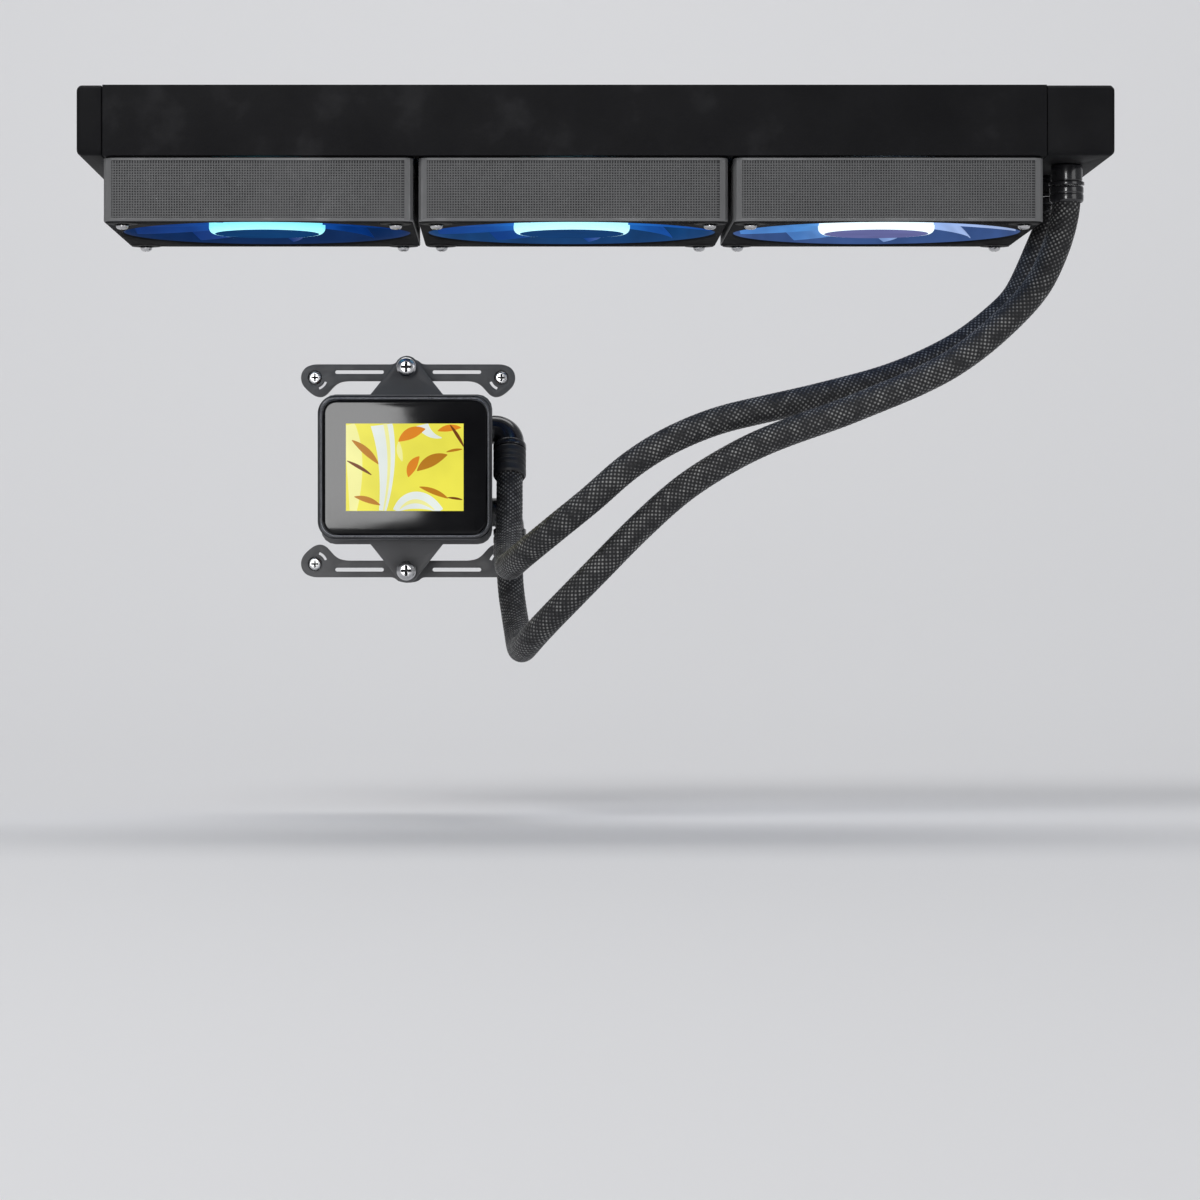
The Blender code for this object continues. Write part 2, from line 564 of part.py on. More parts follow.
        bm = bmesh.new()
        skin = [ring(p, a, ELBOW_R) for p, a in path]
        bore = [ring(p, a, ELBOW_BORE_R) for p, a in reversed(path)]
        loft(bm, skin + bore, ring_closed=True)
        swivel = (LIMB_X, SWIVEL_Y, z)
        add_object("pump_elbow_" + label, bm, BLACK, swivel)
        sleeve = [(HOSE_R + GAP, -10.2), (6.6, -10.2), (6.8, -10.9), (6.8, -22.0), (6.4, -22.8),
                  (HOSE_R + GAP, -22.8)]
        bm = bmesh.new()
        loft(bm, [[tilt @ p for p in row] for row in lathe(sleeve, 22)], ring_closed=True)
        add_object("pump_ferrule_" + label, bm, BLACK, swivel)


# ---------------------------------------------------------------- mounting hardware
def mounting():
    centre = (PUMP_X, 0.0, PUMP_Z)

    # clamping bracket: a frame around the housing with a triangular arm above and below
    bm = bmesh.new()
    half_w, half_h, tip = 35.4, 31.0, 5.0

    def arm(sign):
        points = [Vector((sign * 15.0, sign * half_h, 0))]
        for i in range(9):
            a = radians(25 + 130 * i / 8)
            points.append(Vector((sign * tip * cos(a), sign * (SCREW_DZ + tip * sin(a)), 0)))
        return points + [Vector((-sign * 15.0, sign * half_h, 0))]

    def corner(sx, sy, first):
        return [Vector((sx * (half_w - 6) + 6 * cos(first + pi / 2 * i / 4),
                        sy * (half_h - 6) + 6 * sin(first + pi / 2 * i / 4), 0)) for i in range(5)]

    outline = (corner(1, 1, 0) + arm(1) + corner(-1, 1, pi / 2) + corner(-1, -1, pi) + arm(-1)
               + corner(1, -1, 3 * pi / 2))
    window = round_rect(68.2, 56.2, 6.9, corner=5)
    bores = [circle(2.3, 16, 0, 0, s * SCREW_DZ) for s in (1, -1)]
    plate(bm, outline, [window, *bores], -BRACKET_Y1, -BRACKET_Y0)
    add_object("bracket_plate", bm, MATTE, centre, ALONG_Y)

    for label, s in (("upper", 1), ("lower", -1)):
        spot = (PUMP_X, 0.0, PUMP_Z + s * SCREW_DZ)
        # spring screw: domed head, shank, clip groove, threaded end; heights are minus Y
        profile = [(1.7, -94.0), (2.0, -93.6), (2.0, -85.4), (1.5, -85.3), (1.5, -84.3), (2.0, -84.2),
                   (2.0, -71.2), (4.05, -71.2), (4.05, -69.4), (3.4, -68.5), (1.9, -68.1)]
        screw = turned("spring_screw_" + label, profile, STEEL, spot, ALONG_Y, count=16)
        cut_with(screw, cross_tool("cut_cross_" + label, spot, ALONG_Y, 2.4, 0.8, -69.8, -67.0))
        # open retaining clip in the groove of the screw
        clip = bmesh.new()
        span, inner, outer = radians(290), 1.8, 3.6
        outside = [Vector((outer * cos(span * i / 20 - span / 2), outer * sin(span * i / 20 - span / 2), 0))
                   for i in range(21)]
        inside = [Vector((inner * cos(span * i / 20 - span / 2), inner * sin(span * i / 20 - span / 2), 0))
                  for i in range(20, -1, -1)]
        plate(clip, outside + inside, [], -85.15, -84.45)
        add_object("retaining_clip_" + label, clip, STEEL, spot, ALONG_Y)
        # compressed spring between the screw head and the bracket
        coil = bmesh.new()
        turns, steps, wire, radius = 3.5, 10, 0.4, 3.1
        rows = []
        for i in range(int(turns * steps) + 1):
            a = 2 * pi * i / steps
            z = -BRACKET_Y0 + GAP + wire + (4.6 - 2 * wire) * i / (turns * steps)
            out = Vector((cos(a), sin(a), 0))
            rows.append([out * (radius + wire * cos(2 * pi * k / 5))
                         + Vector((0, 0, z + wire * sin(2 * pi * k / 5))) for k in range(5)])
        loft(coil, rows)
        add_object("spring_" + label, coil, STEEL, spot, ALONG_Y)

        # socket rail with a threaded post for the spring screw, two slots and lobes at the ends
        half = [Vector((x, y, 0)) for x, y in RAIL_HALF]
        shape = half + [Vector((-p.x, p.y, 0)) for p in reversed(half[1:-1])]
        holes = [circle(2.9, 14, 0, x, SOCKET) for x in (-SOCKET, SOCKET)]
        holes += [round_rect(20.4, 1.6, 0.78, 0, x, 41.4, 3) for x in (-20.4, 20.4)]
        # curved slot beside each socket hole, on the side that faces the processor
        for sx in (-1, 1):
            angles = [radians(-110 - 50 * i / 5) for i in range(6)]
            arc = [(5.3 * cos(a), 5.3 * sin(a)) for a in angles]
            arc += [(4.2 * cos(a), 4.2 * sin(a)) for a in reversed(angles)]
            holes.append([Vector((sx * (SOCKET + x), SOCKET + y, 0)) for x, y in arc])
        shape = [Vector((p.x, s * p.y, 0)) for p in shape]
        holes = [[Vector((p.x, s * p.y, 0)) for p in hole] for hole in holes]
        bm = bmesh.new()
        seat = circle(3.9, 20, 0, 0, s * SCREW_DZ)
        levels = [[bm.verts.new((p.x, p.y, z)) for p in loop] for z in (-RAIL_Y1, -RAIL_Y0)
                  for loop in [shape, *holes]]
        count = len(holes) + 1
        for low, high in zip(levels[:count], levels[count:]):
            walls(bm, low, high)
        fill(bm, levels[:count])
        foot = [bm.verts.new((p.x, p.y, -RAIL_Y0)) for p in seat]
        fill(bm, [*levels[count:], foot])
        head = [bm.verts.new((p.x, p.y, -88.0)) for p in seat]
        walls(bm, foot, head)
        mouth = [bm.verts.new((p.x, p.y, -88.0)) for p in circle(2.3, 20, 0, 0, s * SCREW_DZ)]
        deep = [bm.verts.new((p.x, p.y, -97.0)) for p in circle(2.3, 20, 0, 0, s * SCREW_DZ)]
        walls(bm, head, mouth)
        walls(bm, mouth, deep)
        bm.faces.new(deep)
        add_object("socket_rail_" + label, bm, BLACK, centre, ALONG_Y)

        for side, sx in (("left", -1), ("right", 1)):
            spot = (PUMP_X + sx * SOCKET, 0.0, PUMP_Z + s * SOCKET)
            stud = [(4.0, -BOARD_Y), (4.0, -RAIL_Y1 - GAP), (2.6, -RAIL_Y1 - GAP), (2.6, -97.2),
                    (2.1, -96.8)]
            bolt = turned(f"rail_screw_{label}_{side}", stud, STEEL, spot, ALONG_Y, count=16)
            cut_with(bolt, cross_tool(f"cut_stud_{label}_{side}", spot, ALONG_Y, 1.5, 0.55,
                                      -98.2, -96.0))


radiator()
for fan_label, fan_x in zip(("left", "middle", "right"), FAN_X):
    fan(fan_label, fan_x)
pump()
mounting()
BRAID = dict(colour=(0.018, 0.018, 0.02), roughness=0.6)
hose("hose_upper", ROUTE_UPPER, BRAID)
hose("hose_lower", ROUTE_LOWER, BRAID)
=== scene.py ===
"""Look of the all-in-one liquid cooler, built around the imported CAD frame.

Lengths inside the builders are millimetres in the row frame and MM turns them into metres.
"""
import json
from math import cos, pi, radians, sin

import bmesh
import bpy
import numpy as np
from mathutils import Matrix, Vector

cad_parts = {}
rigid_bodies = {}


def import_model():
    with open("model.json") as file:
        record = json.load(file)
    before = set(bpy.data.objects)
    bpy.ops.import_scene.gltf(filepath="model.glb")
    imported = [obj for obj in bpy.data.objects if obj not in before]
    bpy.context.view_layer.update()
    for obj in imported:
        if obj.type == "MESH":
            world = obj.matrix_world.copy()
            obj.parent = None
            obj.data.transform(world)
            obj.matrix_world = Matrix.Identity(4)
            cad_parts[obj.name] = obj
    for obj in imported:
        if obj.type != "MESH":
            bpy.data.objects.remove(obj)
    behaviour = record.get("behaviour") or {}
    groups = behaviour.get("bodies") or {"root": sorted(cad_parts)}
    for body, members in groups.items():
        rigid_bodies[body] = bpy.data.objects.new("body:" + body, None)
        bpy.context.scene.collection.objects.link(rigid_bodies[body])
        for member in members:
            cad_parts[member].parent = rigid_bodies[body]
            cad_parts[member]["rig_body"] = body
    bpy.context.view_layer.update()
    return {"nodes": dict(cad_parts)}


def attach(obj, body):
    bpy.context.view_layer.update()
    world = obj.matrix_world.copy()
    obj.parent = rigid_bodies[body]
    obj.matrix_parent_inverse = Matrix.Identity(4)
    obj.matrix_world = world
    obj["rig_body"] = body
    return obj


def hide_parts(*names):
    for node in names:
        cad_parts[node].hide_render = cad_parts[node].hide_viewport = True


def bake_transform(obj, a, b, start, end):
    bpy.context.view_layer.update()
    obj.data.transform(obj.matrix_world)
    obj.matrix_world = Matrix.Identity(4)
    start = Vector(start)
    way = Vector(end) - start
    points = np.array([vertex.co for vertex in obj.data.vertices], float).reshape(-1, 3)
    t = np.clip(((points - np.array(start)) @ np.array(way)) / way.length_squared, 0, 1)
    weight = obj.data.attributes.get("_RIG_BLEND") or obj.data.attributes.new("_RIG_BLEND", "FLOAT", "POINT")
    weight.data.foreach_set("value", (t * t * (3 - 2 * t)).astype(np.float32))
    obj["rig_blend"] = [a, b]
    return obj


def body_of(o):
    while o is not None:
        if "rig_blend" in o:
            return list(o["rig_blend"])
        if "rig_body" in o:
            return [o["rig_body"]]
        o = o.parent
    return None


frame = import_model()

MM = 0.001
ROOT = "cooler"
FANS = (("left", -120.6), ("middle", 0.0), ("right", 120.6))
FAN_TOP, FAN_BOTTOM, FAN_W, BORE_R, HUB_R, CAP_R = -27.3, -52.3, 118.6, 56.5, 23.0, 17.4
PUMP_X, PUMP_Z = -67.5, -143.0
LIMB_X, SWIVEL_Y, ELBOW_R = -24.9, 86.0, 6.0
SWIVEL = {"upper": (-126.3, 28.0), "lower": (-160.6, 10.0)}
FITTING_X, FITTING_Y = 193.0, {"front": -24.0, "rear": 24.5}
SCREW_DZ, SOCKET = 42.0, 39.0
HOSE_R = 5.5
HOLE_AT, MOTOR_BASE = 52.5, 3.2          # fan screw holes; thickness of a fan's motor base
ROUTES = {
    "upper": [
        (193, 24.5, -36.2), (193, 24.5, -43), (188.3, 24, -54.5), (180.7, 22, -71.3),
        (175, 20, -79.3), (158.3, 14, -93), (141.1, 8, -102.5), (124.1, 2, -109.4),
        (107.4, -4, -114.2), (91.2, -9, -118.4), (75.2, -13, -122.1),
        (56, -16.5, -127), (37.1, -19, -135.1), (21.7, -20.5, -145),
        (8, -20, -157), (-5, -14.5, -167.5), (-14.5, -5.9, -175.2), (-20.8, 5, -180.3),
        (-24.2, 17.6, -183.2), (-25.3, 30, -183.3), (-25.4, 42.5, -180.8),
        (-25.2, 53.5, -175.2), (-25, 62, -167.5), (-24.9, 68.9, -157.3),
        (-24.9, 74.73, -147.49), (-24.9, 81.02, -135.66),],
    "lower": [
        (193, -24, -36.2), (193, -24, -43), (191.3, -24, -51.5),
        (188.5, -24, -60.3), (180.7, -24, -75.9), (164.5, -24, -92.6),
        (148.6, -24, -104.6), (133.6, -24, -112.4), (118.2, -24, -118.8),
        (102.6, -23.2, -125), (87, -22, -130.4), (72, -20.3, -136.4),
        (57, -18, -144.4), (42.4, -15, -154.2), (26.7, -12, -168.3),
        (11, -8.7, -184.2), (0, -4.5, -195.5), (-9, 3, -204.8), (-15.2, 12.5, -211.6),
        (-18.6, 24, -215.7), (-20, 36.5, -216.9), (-20.8, 49, -215.4),
        (-21.6, 60.5, -210.9), (-22.8, 70.5, -203.5), (-24.2, 77.8, -194.3),
        (-24.9, 81.83, -184.24), (-24.9, 84.16, -171.04),],
}
RAIL_Y0, RAIL_Y1 = 98, 101.0
# right half of the upper rail's outline, from the middle of its outer edge round to its inner edge
RAIL_HALF = [
    (0, 47), (4, 46.4), (6, 44.6), (39.5, 44.6), (42.8, 43.5), (44.6, 41.2), (45, 38.2),
    (43.9, 35.4), (41, 32.6), (38.6, 31.1), (36.2, 30.8), (34.2, 31.8), (32.4, 33.8), (30.6, 35.8),
    (28.4, 37.1), (25.5, 37.6), (7, 37.6), (4, 37), (0, 36.6),
]

UPRIGHT = np.eye(3)
ALONG_Y = np.array(((1.0, 0, 0), (0, 0, -1), (0, 1, 0)))     # local Z becomes -Y


# ---------------- camera, floor and lights
camera = bpy.data.objects.new("camera", bpy.data.cameras.new("camera"))
bpy.context.scene.collection.objects.link(camera)
camera.location = (-0.0177, -1.705, -0.195)
camera.rotation_euler = (pi / 2, 0, 0)
camera.data.lens = 129.15
camera.data.shift_x, camera.data.shift_y = 0.0608, -0.0042
camera.data.clip_start, camera.data.clip_end = 0.05, 50
bpy.context.scene.camera = camera
bpy.context.scene.view_settings.view_transform = "Standard"


class Look:
    """A Principled material with short helpers for procedural detail."""

    def __init__(self, name, colour, roughness=0.5, metallic=0.0, **sockets):
        self.mat = bpy.data.materials.new(name)
        self.mat.use_nodes = True
        self.tree = self.mat.node_tree
        self.shader = self.tree.nodes["Principled BSDF"]
        self.shader.inputs["Base Color"].default_value = (*colour, 1.0)
        self.shader.inputs["Roughness"].default_value = roughness
        self.shader.inputs["Metallic"].default_value = metallic
        for key, value in sockets.items():
            if isinstance(value, tuple):
                value = (*value, 1.0)
            self.shader.inputs[key.replace("_", " ")].default_value = value
        self.heights = []

    def node(self, kind, **props):
        made = self.tree.nodes.new("ShaderNode" + kind)
        for key, value in props.items():
            setattr(made, key, value)
        return made

    def put(self, socket, value):
        if hasattr(value, "is_output"):
            self.tree.links.new(value, socket)
        else:
            socket.default_value = value
        return socket

    def math(self, operation, a, b=0.0, c=0.0, clamp=False):
        made = self.node("Math", operation=operation, use_clamp=clamp)
        for socket, value in zip(made.inputs, (a, b, c)):
            self.put(socket, value)
        return made.outputs[0]

    def place(self, scale=(1, 1, 1), shift=(0, 0, 0)):
        """Object coordinates, shifted and then scaled."""
        mapping = self.node("Mapping", vector_type="POINT")
        mapping.inputs["Scale"].default_value = scale
        mapping.inputs["Location"].default_value = [-s * k for s, k in zip(shift, scale)]
        self.put(mapping.inputs["Vector"], self.node("TexCoord").outputs["Object"])
        return mapping.outputs[0]

    def noise(self, scale, detail=3.0, rough=0.5, stretch=(1, 1, 1)):
        made = self.node("TexNoise")
        made.inputs["Scale"].default_value = scale
        made.inputs["Detail"].default_value = detail
        made.inputs["Roughness"].default_value = rough
        self.put(made.inputs["Vector"], self.place(stretch))
        return made.outputs["Fac"]

    def spread(self, value, low, high, source=(0.3, 0.7)):
        made = self.node("MapRange")
        self.put(made.inputs["Value"], value)
        for key, number in zip(("From Min", "From Max", "To Min", "To Max"), (*source, low, high)):
            made.inputs[key].default_value = number
        return made.outputs["Result"]

    def ramp(self, value, *stops):
        made = self.node("ValToRGB")
        elements = made.color_ramp.elements
        while len(elements) < len(stops):
            elements.new(0.5)
        for element, (position, colour) in zip(elements, sorted(stops)):
            element.position = position
            element.color = (*colour, 1.0)
        self.put(made.inputs["Fac"], value)
        return made.outputs["Color"]

    def feed(self, socket, value):
        self.put(self.shader.inputs[socket], value)
        return self

    def bump(self, height, depth_mm, strength=0.6):
        made = self.node("Bump")
        made.inputs["Strength"].default_value = strength
        made.inputs["Distance"].default_value = depth_mm * MM
        self.put(made.inputs["Height"], height)
        if self.heights:
            self.put(made.inputs["Normal"], self.heights[-1])
        self.heights.append(made.outputs["Normal"])
        self.put(self.shader.inputs["Normal"], made.outputs["Normal"])
        return self


def grained(name, colour, roughness=0.5, metallic=0.0, grain=1600.0, depth=0.05, vary=0.2,
            sheen=0.05, wear=0.35, **more):
    """Moulded or coated surface: fine grain, blotchy tone, uneven gloss and paler worn edges."""
    look = Look(name, colour, roughness, metallic, **more)
    blotch = look.noise(45.0, 4.0)
    dark = tuple(c * (1 - vary) for c in colour)
    pale = tuple(min(1.0, c * (1 + vary) + 0.004) for c in colour)
    edge = look.spread(look.node("NewGeometry").outputs["Pointiness"], 0.0, wear, (0.52, 0.62))
    tone = look.math("ADD", look.spread(blotch, 0.1, 0.6), edge, clamp=True)
    worn = tuple(min(1.0, c * 2.2 + 0.02) for c in colour)
    look.feed("Base Color", look.ramp(tone, (0.0, dark), (0.55, pale), (1.0, worn)))
    fine = look.noise(grain, 2.0)
    look.feed("Roughness", look.spread(look.noise(300.0, 3.0), roughness - sheen, roughness + sheen))
    return look.bump(fine, depth)


def machined(name, colour, roughness, grain, **more):
    """Bright metal with fine directional tool marks."""
    look = Look(name, colour, roughness, 1.0, **more)
    marks = look.noise(grain, 3.0, 0.6, (1, 1, 40))
    dark = tuple(c * 0.8 for c in colour)
    look.feed("Base Color", look.ramp(look.noise(70.0), (0.3, dark), (0.7, colour)))
    look.feed("Roughness", look.spread(marks, roughness - 0.06, roughness + 0.12))
    return look.bump(marks, 0.02, 0.35)


def stage_plane():
    """Floor that curves up into a plain backdrop."""
    z0, bend, curve = -0.285, 0.9, 2.2
    rows = [(-4.0, z0), (-1.0, z0), (bend, z0)]
    for i in range(1, 33):
        a = pi / 2 * i / 32
        rows.append((bend + curve * sin(a), z0 + curve * (1 - cos(a))))
    rows.append((bend + curve, 5.0))
    verts = [(x, y, z) for y, z in rows for x in (-6.0, 6.0)]
    faces = [(2 * i, 2 * i + 1, 2 * i + 3, 2 * i + 2) for i in range(len(rows) - 1)]
    mesh = bpy.data.meshes.new("floor")
    mesh.from_pydata(verts, [], faces)
    mesh.shade_smooth()
    floor = bpy.data.objects.new("floor", mesh)
    bpy.context.scene.collection.objects.link(floor)
    mesh.materials.append(Look("floor_paper", (0.80, 0.80, 0.81), 0.8, Specular_IOR_Level=0.2).mat)


def softbox(name, spot, target, size, power):
    data = bpy.data.lights.new(name, "AREA")
    data.shape, data.size, data.size_y = "RECTANGLE", size[0], size[1]
    data.energy = power
    lamp = bpy.data.objects.new(name, data)
    lamp.location = spot
    lamp.rotation_mode = "QUATERNION"
    lamp.rotation_quaternion = (Vector(target) - Vector(spot)).to_track_quat("-Z", "Y")
    bpy.context.scene.collection.objects.link(lamp)


stage_plane()
softbox("key", (-0.9, -1.5, 1.5), (0, 0, -0.1), (1.2, 0.9), 22)
softbox("fill", (1.9, -1.7, 0.3), (0, 0, -0.1), (1.2, 1.2), 7)
softbox("backdrop", (0.0, 1.2, 2.6), (0.0, 2.2, 0.0), (3.0, 1.4), 36)
softbox("window", (-0.405, -2.9, 0.08), (-0.405, 0.0, 0.08), (0.45, 0.61), 11.5)
world = bpy.data.worlds.new("studio")
world.use_nodes = True
world.node_tree.nodes["Background"].inputs["Color"].default_value = (0.93, 0.95, 1.0, 1.0)
world.node_tree.nodes["Background"].inputs["Strength"].default_value = 0.26
bpy.context.scene.world = world


# ---------------- mesh helpers
def bare_mesh(verts, faces, name="bare"):
    mesh = bpy.data.meshes.new(name)
    mesh.from_pydata(np.asarray(verts, float).tolist(), [], [tuple(map(int, f)) for f in faces])
    work = bmesh.new()
    work.from_mesh(mesh)
    bmesh.ops.recalc_face_normals(work, faces=work.faces)
    work.to_mesh(mesh)
    work.free()
    return mesh


def solid(mesh):
    """Vertices and faces of a mesh."""
    return np.array([v.co for v in mesh.vertices]), [tuple(p.vertices) for p in mesh.polygons]


def make(name, verts, faces, looks, body, replaces=(), sharp=35.0, origin=(0, 0, 0),
         axes=UPRIGHT, picks=None):
    """A piece from local millimetre vertices; its mesh stays in the row frame and it rides on a body."""
    points = (np.asarray(verts, float) @ np.asarray(axes).T + np.asarray(origin, float)) * MM
    mesh = bare_mesh(points, faces, name)
    for look in looks if isinstance(looks, (list, tuple)) else [looks]:
        mesh.materials.append(look.mat)
    if picks is not None:
        mesh.polygons.foreach_set("material_index", picks)
    return dress(name, mesh, body, replaces, sharp)


def dress(name, mesh, body, replaces, sharp):
    mesh.shade_smooth()
    mesh.set_sharp_from_angle(angle=radians(sharp))
    piece = bpy.data.objects.new(name, mesh)
    bpy.context.scene.collection.objects.link(piece)
    if body:
        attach(piece, body)
    if replaces:
        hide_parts(*replaces)
    return piece


def skin(rings, join=False):
    """Vertices and faces of a skin over equal-length rings."""
    rings = np.asarray(rings, float)
    rows, count = rings.shape[:2]
    faces = []
    index = np.arange(rows * count).reshape(rows, count)
    last = rows if join else rows - 1
    for r in range(last):
        a, b = index[r], index[(r + 1) % rows]
        faces.append(np.stack([a, np.roll(a, -1), np.roll(b, -1), b], 1))
    faces = [tuple(f) for f in np.concatenate(faces)]
    if not join:
        faces += [tuple(index[0][::-1]), tuple(index[-1])]
    return rings.reshape(-1, 3), faces


def turn_rings(profile, count=64):
    angle = np.linspace(0, 2 * pi, count, endpoint=False)
    return np.array([np.stack([r * np.cos(angle), r * np.sin(angle), np.full(count, z)], 1)
                     for r, z in profile])


def rounded(profile, radius, steps=3, closed=False):
    """Round every corner of a (radius, height) profile."""
    pts = [np.array(p, float) for p in profile]
    out = []
    for i, p in enumerate(pts):
        if not closed and i in (0, len(pts) - 1):
            out.append(tuple(p))
            continue
        before, after = pts[i - 1] - p, pts[(i + 1) % len(pts)] - p
        reach = min(radius, 0.45 * np.linalg.norm(before), 0.45 * np.linalg.norm(after))
        a = p + before / np.linalg.norm(before) * reach
        b = p + after / np.linalg.norm(after) * reach
        for k in range(steps + 1):
            t = k / steps
            out.append(tuple((1 - t) ** 2 * a + 2 * t * (1 - t) * p + t * t * b))
    return out


def turned(name, profile, look, body, replaces, origin, hollow=False, edge=0.3, count=64):
    verts, faces = skin(turn_rings(rounded(profile, edge, closed=hollow), count), join=hollow)
    return make(name, verts, faces, look, body, replaces, 40.0, origin)


def round_rect(width, height, radius, z=0.0, corner=10):
    points = []
    for quarter, (sx, sy) in enumerate(((1, 1), (-1, 1), (-1, -1), (1, -1))):
        for i in range(corner + 1):
            angle = pi / 2 * (quarter + i / corner)
            points.append((sx * (width / 2 - radius) + radius * cos(angle),
                           sy * (height / 2 - radius) + radius * sin(angle), z))
    return points


def applied(mesh, *setups):
    """The mesh with modifiers applied: each setup is (kind, settings)."""
    temp = bpy.data.objects.new("temp", mesh)
    bpy.context.scene.collection.objects.link(temp)
    for kind, settings in setups:
        modifier = temp.modifiers.new(kind, kind)
        for key, value in settings.items():
            setattr(modifier, key, value)
    graph = bpy.context.evaluated_depsgraph_get()
    result = bpy.data.meshes.new_from_object(temp.evaluated_get(graph))
    bpy.data.objects.remove(temp, do_unlink=True)
    return result


def bevelled(node, look, width, segments=2):
    """A copy of a CAD node with softened edges, riding on the node's body."""
    source = frame["nodes"][node]
    copy = source.data.copy()
    work = bmesh.new()
    work.from_mesh(copy)
    bmesh.ops.remove_doubles(work, verts=work.verts, dist=1e-6)
    bmesh.ops.dissolve_limit(work, angle_limit=radians(1.0), verts=work.verts, edges=work.edges)
    work.to_mesh(copy)
    work.free()
    mesh = applied(copy, ("BEVEL", dict(width=width * MM, segments=segments, limit_method="ANGLE",
                                        angle_limit=radians(30), use_clamp_overlap=True)))
    mesh.materials.clear()
    mesh.materials.append(look.mat)
    return dress(node + "_finish", mesh, body_of(source)[0], (node,), 32.0)


def recoat(node, look):
    """A better material on a CAD node that stays as it is."""
    for place in frame["nodes"][node].material_slots:
        place.material = look.mat


# ---------------- hoses
def smooth_route(points):
    pts = [np.array(p, float) for p in points]
    pts = [2 * pts[0] - pts[1], *pts, 2 * pts[-1] - pts[-2]]
    curve, per_span = [], 24
    for p0, p1, p2, p3 in zip(pts, pts[1:], pts[2:], pts[3:]):
        for t in np.arange(per_span) / per_span:
            curve.append(0.5 * (2 * p1 + (p2 - p0) * t + (2 * p0 - 5 * p1 + 4 * p2 - p3) * t * t
                                + (3 * p1 - p0 - 3 * p2 + p3) * t ** 3))
    curve.append(pts[-2])
    return np.array(curve)


def even(curve, step):
    at = np.concatenate([[0.0], np.cumsum(np.linalg.norm(np.diff(curve, axis=0), axis=1))])
    where = np.linspace(0, at[-1], int(round(at[-1] / step)) + 1)
    return np.stack([np.interp(where, at, curve[:, k]) for k in range(3)], 1), at[-1]


def eased(line, reach):
    """Running average that leaves both ends where they are."""
    kernel = np.hanning(2 * reach + 3)[1:-1]
    kernel /= kernel.sum()
    head = 2 * line[0] - line[1:reach + 1][::-1]
    tail = 2 * line[-1] - line[-reach - 1:-1][::-1]
    padded = np.concatenate([head, line, tail])
    return np.stack([np.convolve(padded[:, k], kernel, "valid") for k in range(3)], 1)


STRANDS, STRAND_PITCH, RING = 16, 2.1, 64


def braid_look():
    """Woven sleeve: two crossing families of strands over and under each other."""
    look = Look("braided_sleeve", (0.02, 0.02, 0.022), 0.45, Sheen_Weight=0.1, Sheen_Roughness=0.4)
    m = look.math
    uv = look.node("UVMap", uv_map="weave")
    split = look.node("SeparateXYZ")
    look.put(split.inputs[0], uv.outputs[0])
    a = m("ADD", split.outputs[0], split.outputs[1])
    b = m("SUBTRACT", split.outputs[0], split.outputs[1])
    fa, fb = m("FRACT", a), m("FRACT", b)
    odd = m("MODULO", m("ADD", m("FLOOR", a), m("FLOOR", b)), 2.0)
    odd = m("ABSOLUTE", odd)
    across = m("ADD", m("MULTIPLY", odd, fa), m("MULTIPLY", m("SUBTRACT", 1.0, odd), fb))
    along = m("ADD", m("MULTIPLY", odd, fb), m("MULTIPLY", m("SUBTRACT", 1.0, odd), fa))
    crown = m("POWER", m("SINE", m("MULTIPLY", across, pi)), 0.55)
    swell = m("MULTIPLY_ADD", m("SINE", m("MULTIPLY", along, pi)), 0.5, 0.5)
    height = m("MULTIPLY", crown, swell)
    thread = m("SINE", m("MULTIPLY", across, 2 * pi * 4))
    # painted highlight and shade: every strand crown is made pale and the gaps between strands near black;
    # the noise adds random tone
    painted_crown_glint = look.math("POWER", height, 3.0)
    drift = look.spread(look.noise(260.0, 2.0), 0.35, 1.15)
    tone = m("MULTIPLY", m("ADD", painted_crown_glint, m("MULTIPLY", thread, 0.08)), drift, clamp=True)
    look.feed("Base Color", look.ramp(tone, (0.0, (0.003, 0.003, 0.004)), (0.35, (0.016, 0.016, 0.018)),
                                      (1.0, (0.32, 0.32, 0.31))))
    look.feed("Roughness", look.spread(tone, 0.6, 0.28, (0.0, 1.0)))
    look.bump(height, 0.3, 0.8)
    return look.bump(thread, 0.03, 0.4)


BRAID = braid_look()


